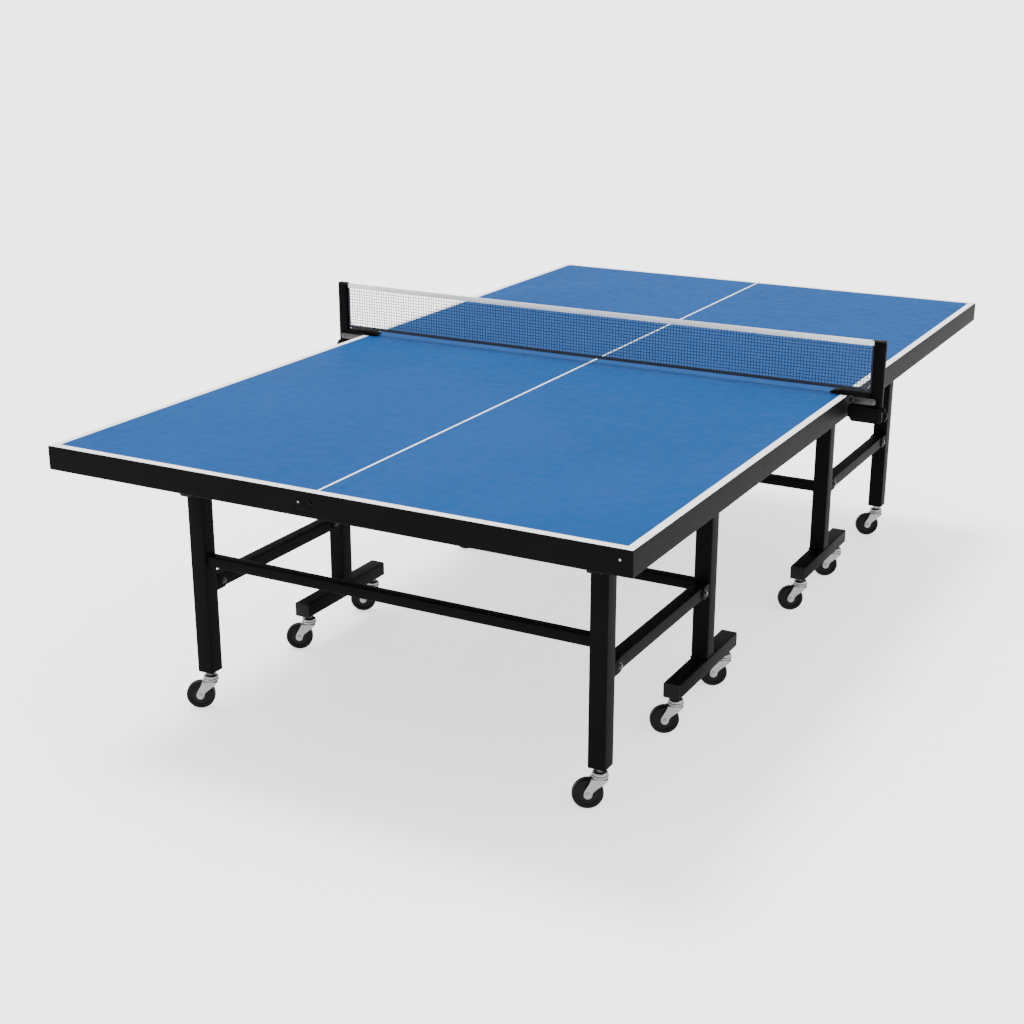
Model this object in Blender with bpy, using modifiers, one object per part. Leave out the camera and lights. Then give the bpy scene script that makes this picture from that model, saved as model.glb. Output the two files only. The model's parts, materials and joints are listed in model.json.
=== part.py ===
"""A folding ping pong table on twelve casters, with a clamp-on net. Metres, +Z up.

The floor is z = 0 and the net stands at y = 0. The table is two equal halves that meet under the net: half a
lies towards -Y, and half b is the same half turned half a turn about Z. Each half is a parallelogram linkage.
The tabletop turns on its T legs and carries the end legs up, and the side bars keep the end legs upright.
"""

import math

import bmesh
import bpy
from mathutils import Matrix, Vector

# Playing surface
TABLE_LENGTH = 2.740
TABLE_WIDTH = 1.525
TABLE_HEIGHT = 0.760
PANEL_THICKNESS = 0.018
HALVES_GAP = 0.003
TOUCH_GAP = 0.0003
LAP = 0.0005

# Apron rails under the panel's edge
APRON_HEIGHT = 0.042
APRON_THICKNESS = 0.020
TUBE_WALL = 0.002
TUBE_CORNER = 0.003

# Legs. Distances along the table are measured from the net towards the end
LEG = 0.045
LEG_X = 0.560
T_LEG_FROM_NET = 0.465
END_LEG_FROM_NET = 1.073
CASTER_HEIGHT = 0.105
FOOT_HEIGHT = 0.040
FOOT_TO_END = 0.200
FOOT_TO_NET = 0.190
CASTER_FROM_FOOT_END = 0.032
CROSSBAR = 0.028
END_CROSSBAR_Z = 0.414
SIDE_BAR = 0.035
SIDE_BAR_Z = 0.340
SIDE_BAR_PAST_PIVOT = 0.008

# Pivots. The four are the corners of a parallelogram
T_PIVOT_FROM_LEG = -0.020
END_PIVOT_FROM_LEG = -0.120
BAR_PIVOT_FROM_LEG = 0.050
PIVOT_BELOW_PANEL = 0.012
PIVOT_EYE = 0.0075
PIN = 0.003
BAR_PIN = 0.004
PIN_CLEARANCE = 0.0003
EAR = 0.003
EAR_GAP = 0.0005
T_LEG_RISE = 0.005
T_EAR_DROP = 0.050
T_EAR_RISE = 0.004
END_LEG_RISE = 0.006
ARM_HEEL = 0.060
ARM_DROP = 0.020
ARM_RISE = 0.005

# Hinge rails under the panel, and the leg stop at the end of each
RAIL_WIDTH = 0.060
RAIL_THICKNESS = 0.003
RAIL_PAST_T_PIVOT = 0.030
STOP_WIDTH = 0.034
STOP_LENGTH = 0.058
STOP_DROP = 0.150
STOP_WALL = 0.0025
STOP_CLEARANCE = 0.001
STOP_CUT_LENGTH = 0.030
STOP_CUT_HEIGHT = 0.062
RAIL_EAR_ROOT = 0.016

# Casters
WHEEL_RADIUS = 0.0375
WHEEL_WIDTH = 0.024
WHEEL_BORE = 0.0043
AXLE = 0.004
CASTER_TRAIL = 0.028
TRAIL_DIRECTION = math.radians(209.0)
FORK_PLATE = 0.0025
FORK_INNER = 0.0275
FORK_EYE = 0.0095
FORK_CROWN = 0.0785
FORK_CHEEK_LOW = 0.0685
FORK_FRONT = 0.018
FORK_BACK = 0.024
FORK_SHOULDER = (0.031, 0.066)
CROWN_FRONT = 0.020
AXLE_PROUD = 0.002
SWIVEL_RADIUS = 0.021
SWIVEL_HEIGHT = 0.010
NECK_RADIUS = 0.013
STEM = 0.005
STEM_INTO_LEG = 0.015
WHEEL_FACE_RADIUS = 0.033
TREAD_SHOULDER = 0.004
WHEEL_SIDES = 24

# Net set
NET_HEIGHT = 0.1525
NET_BOTTOM = 0.774
NET_THICKNESS = 0.003
POST_INNER_X = 0.822
POST_WIDTH = 0.032
POST_DEPTH = 0.018
POST_BOTTOM = 0.694
POST_TOP = 0.915
POST_WALL = 0.0015
POST_CORNER = 0.004
CLAMP_DEPTH = 0.040
CLAMP_TOP = 0.736
CLAMP_FROM_EDGE = 0.004
CLAMP_WALL = 0.003
CLAMP_ROOF = 0.004
CLAMP_INNER_WALL = 0.006
CLAMP_BEHIND_POST = 0.002
WEB_THICKNESS = 0.008
JAW_OVER_TABLE = 0.050
JAW_THICKNESS = 0.012
JAW_INSET = 0.004
JAW_TIP_HEIGHT = 0.003
JAW_TIP_LENGTH = 0.012
JAW_SLOPE_LENGTH = 0.022
JAW_CLEARANCE = 0.0004
LEVER_WIDTH = 0.012
LEVER_PLATE = 0.0025
LEVER_LENGTH = 0.036
LEVER_EYE = 0.0028
LEVER_BOW = 0.008
LEVER_END_GAP = 0.003
LEVER_PIN = 0.0012
LEVER_FROM_POST = 0.0035
LEVER_EAR = 0.002
LEVER_EAR_EYE = 0.003
LEVER_EAR_ROOT = 0.006
LEVER_SIDE_GAP = 0.0004

# Release latch, flush in the end rail of half a
LATCH_X = -0.025
LATCH_WIDTH = 0.042
LATCH_HEIGHT = 0.026
LATCH_TOP = 0.7385
LATCH_THICKNESS = 0.0025
LATCH_PLAY = 0.0007
LATCH_CORNER = 0.0025
LATCH_PIVOT_BELOW_TOP = 0.004
LATCH_PIVOT_DEPTH = 0.002

PANEL_UNDERSIDE = TABLE_HEIGHT - PANEL_THICKNESS
PIVOT_Z = PANEL_UNDERSIDE - PIVOT_BELOW_PANEL
T_PIVOT = T_LEG_FROM_NET + T_PIVOT_FROM_LEG
END_PIVOT = END_LEG_FROM_NET + END_PIVOT_FROM_LEG
BAR_PIVOT_T = T_LEG_FROM_NET + BAR_PIVOT_FROM_LEG
BAR_PIVOT_END = END_LEG_FROM_NET - BAR_PIVOT_FROM_LEG
RAIL_UNDERSIDE = PANEL_UNDERSIDE - TOUCH_GAP - RAIL_THICKNESS

BLACK_PAINT = ("black_paint", (0.012, 0.012, 0.013), 0.38, 0.0)
BLUE_TOP = ("blue_top", (0.055, 0.180, 0.440), 0.55, 0.0)
ZINC = ("zinc", (0.72, 0.73, 0.74), 0.25, 1.0)
TYRE = ("wheel_rubber", (0.015, 0.015, 0.016), 0.60, 0.0)
NETTING = ("netting", (0.02, 0.03, 0.06), 0.85, 0.0)
GREY_STEEL = ("dark_steel", (0.10, 0.10, 0.105), 0.35, 0.8)


def material(look):
    """The Principled material of a (name, colour, roughness, metallic) look, made once."""
    name, colour, roughness, metallic = look
    if name in bpy.data.materials:
        return bpy.data.materials[name]
    made = bpy.data.materials.new(name)
    made.use_nodes = True
    shader = made.node_tree.nodes["Principled BSDF"]
    shader.inputs["Base Color"].default_value = (*colour, 1.0)
    shader.inputs["Roughness"].default_value = roughness
    shader.inputs["Metallic"].default_value = metallic
    made.diffuse_color = (*colour, 1.0)
    return made


def mesh_from(shape):
    """Turns a bmesh into mesh data with its faces pointing out."""
    bmesh.ops.recalc_face_normals(shape, faces=shape.faces)
    mesh = bpy.data.meshes.new("shape")
    shape.to_mesh(mesh)
    shape.free()
    return mesh


def block(low, high, rounded_along=None, radius=TUBE_CORNER, segments=2):
    """A box between two corners, with its four edges along one axis (0, 1 or 2) rounded if it is given."""
    low, high = Vector(low), Vector(high)
    shape = bmesh.new()
    place = Matrix.Translation((low + high) / 2) @ Matrix.Diagonal((*(high - low), 1.0))
    bmesh.ops.create_cube(shape, size=1.0, matrix=place)
    if rounded_along is not None:
        edges = []
        for edge in shape.edges:
            run = edge.verts[1].co - edge.verts[0].co
            if abs(run[rounded_along]) > 0.99 * run.length:
                edges.append(edge)
        bmesh.ops.bevel(shape, geom=edges, offset=radius, segments=segments, profile=0.5, affect="EDGES")
    return mesh_from(shape)


def rod(radius, start, end, sides=12):
    """A closed cylinder from one point to another."""
    start, end = Vector(start), Vector(end)
    shape = bmesh.new()
    turn = (end - start).to_track_quat("Z", "Y").to_matrix().to_4x4()
    place = Matrix.Translation((start + end) / 2) @ turn
    bmesh.ops.create_cone(
        shape,
        cap_ends=True,
        segments=sides,
        radius1=radius,
        radius2=radius,
        depth=(end - start).length,
        matrix=place,
    )
    return mesh_from(shape)


def outline(points, low, high, across):
    """A flat outline of (other axis, z) points, extruded from low to high along the axis across, 0 or 1."""
    curve = bpy.data.curves.new("outline", "CURVE")
    curve.dimensions = "2D"
    curve.fill_mode = "BOTH"
    curve.extrude = (high - low) / 2
    spline = curve.splines.new("POLY")
    spline.points.add(len(points) - 1)
    for point, (first, second) in zip(spline.points, points, strict=True):
        point.co = (first, second, 0.0, 1.0)
    spline.use_cyclic_u = True
    flat = bpy.data.objects.new("outline", curve)
    BENCH.objects.link(flat)
    mesh = bpy.data.meshes.new_from_object(flat.evaluated_get(bpy.context.evaluated_depsgraph_get()))
    bpy.data.objects.remove(flat)
    bpy.data.curves.remove(curve)
    middle = (low + high) / 2
    if across == 0:
        columns = ((0, 0, 1, middle), (1, 0, 0, 0), (0, 1, 0, 0), (0, 0, 0, 1))
    else:
        columns = ((1, 0, 0, 0), (0, 0, 1, middle), (0, 1, 0, 0), (0, 0, 0, 1))
    mesh.transform(Matrix(columns))
    shape = bmesh.new()
    shape.from_mesh(mesh)
    bmesh.ops.remove_doubles(shape, verts=shape.verts, dist=0.00001)
    return mesh_from(shape)


def arc(centre, radius, start, end, steps):
    """Points on a circle from one angle to another, in degrees, both ends included."""
    points = []
    for step in range(steps + 1):
        angle = math.radians(start + (end - start) * step / steps)
        points.append((centre[0] + radius * math.cos(angle), centre[1] + radius * math.sin(angle)))
    return points


def combine(base, joined=(), cut=()):
    """The mesh of base with some meshes joined to it and others cut from it."""
    body = bpy.data.objects.new("body", base)
    BENCH.objects.link(body)
    tools = []
    for operation, meshes in (("UNION", joined), ("DIFFERENCE", cut)):
        for mesh in meshes:
            tool = bpy.data.objects.new("tool", mesh)
            tool.hide_render = True
            tool.display_type = "WIRE"
            BENCH.objects.link(tool)
            tools.append(tool)
            modifier = body.modifiers.new(operation.lower(), "BOOLEAN")
            modifier.operation = operation
            modifier.solver = "EXACT"
            modifier.object = tool
    result = bpy.data.meshes.new_from_object(body.evaluated_get(bpy.context.evaluated_depsgraph_get()))
    for used in (body, *tools):
        bpy.data.objects.remove(used)
    return result


def tube(low, high, along, wall=TUBE_WALL):
    """A square-section tube along an axis, open at both ends."""
    inner_low, inner_high = [], []
    for axis in range(3):
        inset = -wall if axis == along else wall
        inner_low.append(low[axis] + inset)
        inner_high.append(high[axis] - inset)
    inner = block(inner_low, inner_high, along, radius=TUBE_CORNER - wall, segments=1)
    return combine(block(low, high, along), cut=[inner])


def empty(name, place, parent=None):
    holder = bpy.data.objects.new(name, None)
    holder.location = place
    holder.parent = parent
    holder.empty_display_size = 0.05
    PARTS.objects.link(holder)
    return holder


def part(name, mesh, look, parent, place=(0.0, 0.0, 0.0), turn_z=0.0):
    """One named piece. A mesh may be shared by several pieces."""
    if not mesh.materials:
        mesh.materials.append(material(look))
    mesh.shade_smooth()
    mesh.set_sharp_from_angle(angle=math.radians(30.0))
    piece = bpy.data.objects.new(name, mesh)
    piece.location = place
    piece.rotation_euler.z = turn_z
    piece.parent = parent
    PARTS.objects.link(piece)
    return piece


def t_leg_mesh():
    """A hollow upright welded on a lengthwise foot bar, with ears for the top hinge and for the side bar.

    Its origin is on the floor under the upright, and the end of the table is towards -Y.
    """
    half = LEG / 2
    top = PIVOT_Z + T_LEG_RISE
    foot_top = CASTER_HEIGHT + FOOT_HEIGHT
    wall = TUBE_WALL
    upright = block((-half, -half, foot_top - wall / 2), (half, half, top), 2)
    foot = block((-half, -FOOT_TO_END, CASTER_HEIGHT), (half, FOOT_TO_NET, foot_top), 1)
    joined = [foot]
    eye = (-T_PIVOT_FROM_LEG, PIVOT_Z)
    ear_points = arc(eye, PIVOT_EYE, 90, -90, 6)
    ear_points += [(0.0, PIVOT_Z - T_EAR_DROP), (0.0, PIVOT_Z + T_EAR_RISE)]
    bar_eye = (-BAR_PIVOT_FROM_LEG, SIDE_BAR_Z)
    bar_ear_points = arc(bar_eye, SIDE_BAR / 2, 270, 90, 6)
    root = -half + wall / 2
    bar_ear_points += [(root, SIDE_BAR_Z + SIDE_BAR / 2), (root, SIDE_BAR_Z - SIDE_BAR / 2)]
    inside = SIDE_BAR / 2 + EAR_GAP
    for side in (-1, 1):
        ear = sorted((side * (half - wall / 2), side * (half + EAR)))
        joined.append(outline(ear_points, *ear, across=0))
        bar_ear = sorted((side * inside, side * (inside + EAR)))
        joined.append(outline(bar_ear_points, *bar_ear, across=0))
    joined.append(rod(BAR_PIN, (-inside - EAR / 2, *bar_eye), (inside + EAR / 2, *bar_eye)))
    cut = [
        block((-half + wall, -half + wall, foot_top - 2 * wall), (half - wall, half - wall, top + wall)),
        block(
            (-half + wall, -FOOT_TO_END + wall, CASTER_HEIGHT + wall),
            (half - wall, FOOT_TO_NET - wall, foot_top - wall),
        ),
    ]
    for end in (-FOOT_TO_END + CASTER_FROM_FOOT_END, FOOT_TO_NET - CASTER_FROM_FOOT_END):
        below, above = (0.0, end, CASTER_HEIGHT - wall), (0.0, end, CASTER_HEIGHT + 2 * wall)
        cut.append(rod(STEM + PIN_CLEARANCE, below, above))
    for side in (-1, 1):
        cut.append(rod(PIN + PIN_CLEARANCE, (side * (half + EAR / 4), *eye), (side * (half + 2 * EAR), *eye)))
    return combine(upright, joined, cut)


def end_leg_mesh():
    """A hollow leg with two arms at its top that reach the hinge, and ears for the side bar."""
    half = LEG / 2
    top = PIVOT_Z + END_LEG_RISE
    wall = TUBE_WALL
    eye = (-END_PIVOT_FROM_LEG, PIVOT_Z)
    arm_points = arc(eye, PIVOT_EYE, 90, -90, 6)
    back = -half + wall
    arm_points += [(ARM_HEEL, PIVOT_Z - ARM_DROP), (back, PIVOT_Z - ARM_DROP), (back, PIVOT_Z + ARM_RISE)]
    bar_eye = (BAR_PIVOT_FROM_LEG, SIDE_BAR_Z)
    bar_ear_points = arc(bar_eye, SIDE_BAR / 2, 90, -90, 6)
    root = half - wall / 2
    bar_ear_points += [(root, SIDE_BAR_Z - SIDE_BAR / 2), (root, SIDE_BAR_Z + SIDE_BAR / 2)]
    inside = SIDE_BAR / 2 + EAR_GAP
    joined = []
    for side in (-1, 1):
        arm = sorted((side * (half - wall / 2), side * (half + EAR)))
        joined.append(outline(arm_points, *arm, across=0))
        bar_ear = sorted((side * inside, side * (inside + EAR)))
        joined.append(outline(bar_ear_points, *bar_ear, across=0))
    joined.append(rod(BAR_PIN, (-inside - EAR / 2, *bar_eye), (inside + EAR / 2, *bar_eye)))
    cut = [
        block((-half + wall, -half + wall, CASTER_HEIGHT + wall), (half - wall, half - wall, top + wall)),
        rod(STEM + PIN_CLEARANCE, (0.0, 0.0, CASTER_HEIGHT - wall), (0.0, 0.0, CASTER_HEIGHT + 2 * wall)),
        rod(PIN + PIN_CLEARANCE, (-LEG, *eye), (LEG, *eye)),
    ]
    leg = block((-half, -half, CASTER_HEIGHT), (half, half, top), 2)
    return combine(leg, joined, cut)


def side_bar_mesh():
    """A tube between the two lower pivots, with its origin on the T leg's pivot."""
    half = SIDE_BAR / 2
    length = BAR_PIVOT_END - BAR_PIVOT_T
    bar = tube((-half, -length - SIDE_BAR_PAST_PIVOT, -half), (half, SIDE_BAR_PAST_PIVOT, half), 1)
    holes = []
    for along in (0.0, -length):
        holes.append(rod(BAR_PIN + PIN_CLEARANCE, (-LEG, along, 0.0), (LEG, along, 0.0)))
    return combine(bar, cut=holes)


def stop_side_view(near, top, inset):
    """The leg stop seen from the side, drawn in by inset at its far end and its foot."""
    far = -END_LEG_FROM_NET + T_PIVOT - LEG / 2 - STOP_CLEARANCE - STOP_LENGTH + inset
    low = PANEL_UNDERSIDE - STOP_DROP + inset
    return [(near, top), (far, top), (far, low + STOP_CUT_HEIGHT), (far + STOP_CUT_LENGTH, low), (near, low)]


def stop_mesh(leg_face):
    """The leg stop: a bent channel below the rail, open towards the leg, with its lower end corner cut off.

    It gives the channel's outside and the space to cut from it.
    """
    half = STOP_WIDTH / 2
    outside = stop_side_view(-leg_face, RAIL_UNDERSIDE + RAIL_THICKNESS / 2, 0.0)
    inside = stop_side_view(-leg_face + STOP_WALL, RAIL_UNDERSIDE, STOP_WALL)
    outer = outline(outside, -half, half, across=0)
    inner = outline(inside, -half + STOP_WALL, half - STOP_WALL, across=0)
    return outer, inner


def hinge_rail_mesh():
    """A strip under the panel with the top hinges' ears and pins, and the leg stop. Origin on the T pivot."""
    half = RAIL_WIDTH / 2
    ear_inside = LEG / 2 + EAR + EAR_GAP
    leg_face = END_LEG_FROM_NET - T_PIVOT + LEG / 2 + STOP_CLEARANCE
    end = leg_face + STOP_LENGTH
    rail_top = PANEL_UNDERSIDE - TOUCH_GAP
    rail = block((-half, -end, RAIL_UNDERSIDE), (half, RAIL_PAST_T_PIVOT, rail_top))
    joined = []
    for along in (0.0, -(END_PIVOT - T_PIVOT)):
        ear_points = arc((along, PIVOT_Z), PIVOT_EYE, 180, 360, 6)
        upper = RAIL_UNDERSIDE + RAIL_THICKNESS / 2
        ear_points += [(along + RAIL_EAR_ROOT, upper), (along - RAIL_EAR_ROOT, upper)]
        for side in (-1, 1):
            ear = sorted((side * ear_inside, side * (ear_inside + EAR)))
            joined.append(outline(ear_points, *ear, across=0))
    for side in (-1, 1):
        tip, root = side * (LEG / 2 + EAR / 2), side * (ear_inside + EAR / 2)
        joined.append(rod(PIN, (tip, 0.0, PIVOT_Z), (root, 0.0, PIVOT_Z)))
    across = ear_inside + EAR / 2
    along = -(END_PIVOT - T_PIVOT)
    joined.append(rod(PIN, (-across, along, PIVOT_Z), (across, along, PIVOT_Z)))
    outer, inner = stop_mesh(leg_face)
    joined.append(outer)
    mesh = combine(rail, joined, cut=[inner])
    mesh.transform(Matrix.Translation((0.0, 0.0, -PIVOT_Z)))
    return mesh


def fork_mesh():
    """A caster's fork, swivel head, stem and axle. Origin on the floor under the stem. Trails to +X."""
    half = FORK_INNER / 2
    cheek_top = FORK_CROWN + FORK_PLATE - LAP
    cheek_points = arc((CASTER_TRAIL, WHEEL_RADIUS), FORK_EYE, 180, 360, 5)
    cheek_points += [FORK_SHOULDER, (FORK_BACK, cheek_top)]
    cheek_points += [(-FORK_FRONT, cheek_top), (-FORK_FRONT, FORK_CHEEK_LOW)]
    crown_low = (-CROWN_FRONT, -half - FORK_PLATE, FORK_CROWN)
    crown = block(crown_low, (FORK_BACK, half + FORK_PLATE, FORK_CROWN + FORK_PLATE))
    joined = []
    for side in (-1, 1):
        cheek = sorted((side * half, side * (half + FORK_PLATE)))
        joined.append(outline(cheek_points, *cheek, across=1))
    head_top = CASTER_HEIGHT - TOUCH_GAP
    head_foot = FORK_CROWN + FORK_PLATE / 2
    joined.append(rod(SWIVEL_RADIUS, (0.0, 0.0, head_foot), (0.0, 0.0, head_foot + SWIVEL_HEIGHT), sides=16))
    joined.append(rod(NECK_RADIUS, (0.0, 0.0, head_foot + SWIVEL_HEIGHT / 2), (0.0, 0.0, head_top)))
    stem_low, stem_high = (0.0, 0.0, head_top - STEM / 2), (0.0, 0.0, CASTER_HEIGHT + STEM_INTO_LEG)
    joined.append(rod(STEM, stem_low, stem_high, sides=8))
    reach = half + FORK_PLATE + AXLE_PROUD
    axle_ends = [(CASTER_TRAIL, side * reach, WHEEL_RADIUS) for side in (-1, 1)]
    joined.append(rod(AXLE, *axle_ends, sides=8))
    return combine(crown, joined)


def wheel_mesh():
    """A turned wheel with its bore along Y. Origin at its centre."""
    half = WHEEL_WIDTH / 2
    profile = [
        (WHEEL_BORE, half),
        (WHEEL_FACE_RADIUS, half),
        (WHEEL_RADIUS, half - TREAD_SHOULDER),
        (WHEEL_RADIUS, -half + TREAD_SHOULDER),
        (WHEEL_FACE_RADIUS, -half),
        (WHEEL_BORE, -half),
    ]
    shape = bmesh.new()
    corners = [shape.verts.new((radius, 0.0, height)) for radius, height in profile]
    for first, second in zip(corners, corners[1:] + corners[:1], strict=True):
        shape.edges.new((first, second))
    mesh = bpy.data.meshes.new("profile")
    shape.to_mesh(mesh)
    shape.free()
    turned = bpy.data.objects.new("turned", mesh)
    BENCH.objects.link(turned)
    screw = turned.modifiers.new("turn", "SCREW")
    screw.axis = "Z"
    screw.steps = screw.render_steps = WHEEL_SIDES
    screw.use_merge_vertices = True
    screw.merge_threshold = 0.00001
    result = bpy.data.meshes.new_from_object(turned.evaluated_get(bpy.context.evaluated_depsgraph_get()))
    bpy.data.objects.remove(turned)
    result.transform(Matrix.Rotation(math.radians(90.0), 4, "X"))
    return result


def build_half(name, turn):
    """One half of the table, under an empty that half b turns about Z."""
    root = empty(f"half_{name}", (0.0, 0.0, 0.0))
    root.rotation_euler.z = turn
    half_width = TABLE_WIDTH / 2
    net_edge = HALVES_GAP / 2
    end = TABLE_LENGTH / 2
    sides = (("left", -1), ("right", 1))

    fold = empty(f"fold_axis_{name}", (0.0, -T_PIVOT, PIVOT_Z), root)
    to_fold = Matrix.Translation((0.0, T_PIVOT, -PIVOT_Z))

    def on_top(piece_name, mesh, look):
        mesh.transform(to_fold)
        return part(piece_name, mesh, look, fold)

    panel = block((-half_width, -end, PANEL_UNDERSIDE), (half_width, -net_edge, TABLE_HEIGHT))
    on_top(f"tabletop_{name}", panel, BLUE_TOP)
    low, high = PANEL_UNDERSIDE - APRON_HEIGHT, PANEL_UNDERSIDE - TOUCH_GAP
    end_rail = tube((-half_width, -end, low), (half_width, -end + APRON_THICKNESS, high), 0)
    if name == "a":
        end_rail = combine(end_rail, cut=[latch_pocket()])
    on_top(f"end_apron_{name}", end_rail, BLACK_PAINT)
    butt = -end + APRON_THICKNESS + TOUCH_GAP
    for side_name, side in sides:
        across = sorted((side * half_width, side * (half_width - APRON_THICKNESS)))
        side_rail = tube((across[0], butt, low), (across[1], -net_edge, high), 1)
        on_top(f"side_apron_{name}_{side_name}", side_rail, BLACK_PAINT)
        part(f"hinge_rail_{name}_{side_name}", HINGE_RAIL, BLACK_PAINT, fold, (side * LEG_X, 0.0, 0.0))

    links = empty(f"side_bar_axis_{name}", (0.0, -BAR_PIVOT_T, SIDE_BAR_Z), root)
    raised = empty(f"end_leg_axis_{name}", (0.0, -(END_PIVOT - T_PIVOT), 0.0), fold)
    leg_place = -(END_LEG_FROM_NET - END_PIVOT)
    for side_name, side in sides:
        x = side * LEG_X
        part(f"t_leg_{name}_{side_name}", T_LEG, BLACK_PAINT, root, (x, -T_LEG_FROM_NET, 0.0))
        part(f"side_bar_{name}_{side_name}", SIDE_BAR_SHAPE, BLACK_PAINT, links, (x, 0.0, 0.0))
        part(f"end_leg_{name}_{side_name}", END_LEG, BLACK_PAINT, raised, (x, leg_place, -PIVOT_Z))
    part(f"t_crossbar_{name}", CROSSBAR_SHAPE, BLACK_PAINT, root, (0.0, -T_LEG_FROM_NET, SIDE_BAR_Z))
    end_bar = (0.0, leg_place, END_CROSSBAR_Z - PIVOT_Z)
    part(f"end_crossbar_{name}", CROSSBAR_SHAPE, BLACK_PAINT, raised, end_bar)

    spots = (
        ("end", raised, leg_place, -PIVOT_Z),
        ("outer", root, -T_LEG_FROM_NET - FOOT_TO_END + CASTER_FROM_FOOT_END, 0.0),
        ("inner", root, -T_LEG_FROM_NET + FOOT_TO_NET - CASTER_FROM_FOOT_END, 0.0),
    )
    for spot, carrier, along, floor in spots:
        for side_name, side in sides:
            caster = f"{name}_{side_name}_{spot}"
            stem = (side * LEG_X, along, floor)
            swivel = part(f"caster_fork_{caster}", FORK, ZINC, carrier, stem, TRAIL_DIRECTION - turn)
            part(f"caster_wheel_{caster}", WHEEL, TYRE, swivel, (CASTER_TRAIL, 0.0, WHEEL_RADIUS))


def latch_box(grow):
    """The latch's outline, grown by its play for the pocket, as the low and high corners without their y."""
    low = (LATCH_X - LATCH_WIDTH / 2 - grow, LATCH_TOP - LATCH_HEIGHT - grow)
    high = (LATCH_X + LATCH_WIDTH / 2 + grow, LATCH_TOP + grow)
    return low, high


def latch_pocket():
    low, high = latch_box(LATCH_PLAY)
    face = -TABLE_LENGTH / 2
    return block((low[0], face - TUBE_WALL, low[1]), (high[0], face + 2 * TUBE_WALL, high[1]), 1)


def build_latch(parent):
    """A flush plate that swings out of the end rail about its upper edge."""
    low, high = latch_box(0.0)
    face = -TABLE_LENGTH / 2
    pivot = Vector((LATCH_X, face + LATCH_PIVOT_DEPTH, LATCH_TOP - LATCH_PIVOT_BELOW_TOP))
    plate = block((low[0], face, low[1]), (high[0], face + LATCH_THICKNESS, high[1]), 1, radius=LATCH_CORNER)
    plate.transform(Matrix.Translation(-pivot))
    axis = Vector((0.0, T_PIVOT, -PIVOT_Z))
    part("release_latch", plate, GREY_STEEL, parent, pivot + axis)


def post_mesh():
    """A net post of rectangular tube, open below, with two small ears for the clamp lever. Stands at +X."""
    outer_x = POST_INNER_X + POST_WIDTH
    half = POST_DEPTH / 2
    post = block((POST_INNER_X, -half, POST_BOTTOM), (outer_x, half, POST_TOP), 2, radius=POST_CORNER)
    hollow = block(
        (POST_INNER_X + POST_WALL, -half + POST_WALL, POST_BOTTOM - POST_WALL),
        (outer_x - POST_WALL, half - POST_WALL, POST_TOP - POST_WALL),
    )
    pivot = lever_pivot()
    ears = []
    for side in (-1, 1):
        inner_y = LEVER_WIDTH / 2 + LEVER_SIDE_GAP
        near, far = sorted((side * inner_y, side * (inner_y + LEVER_EAR)))
        root_x = outer_x - POST_WALL / 2
        points = arc(pivot, LEVER_EAR_EYE, -90, 90, 6)
        points += [(root_x, pivot[1] + LEVER_EAR_ROOT), (root_x, pivot[1] - LEVER_EAR_ROOT)]
        ears.append(outline(points, near, far, across=1))
    reach = LEVER_WIDTH / 2 + LEVER_EAR
    pin = rod(LEVER_PIN, (pivot[0], -reach, pivot[1]), (pivot[0], reach, pivot[1]))
    return combine(post, [*ears, pin], cut=[hollow])


def lever_pivot():
    """The lever's axis at +X, as (x, z)."""
    return (POST_INNER_X + POST_WIDTH + LEVER_FROM_POST, POST_BOTTOM + LEVER_LENGTH)


def lever_mesh():
    """The clamp's quick lever: a bowed plate that hangs from the post's ears. Stands at +X."""
    x, z = lever_pivot()
    eye = arc((x, z), LEVER_EYE, 180, 0, 6)
    drop = LEVER_LENGTH - LEVER_END_GAP
    outer, inner = [], []
    steps = 6
    for step in range(1, steps + 1):
        share = step / steps
        face = x + LEVER_EYE + LEVER_BOW * math.sin(math.pi * share)
        outer.append((face, z - drop * share))
        inner.append((face - LEVER_PLATE, z - drop * share))
    plate = outline(eye + outer + inner[::-1], -LEVER_WIDTH / 2, LEVER_WIDTH / 2, across=1)
    hole = rod(LEVER_PIN + PIN_CLEARANCE, (x, -LEVER_WIDTH, z), (x, LEVER_WIDTH, z))
    return combine(plate, cut=[hole])


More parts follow.
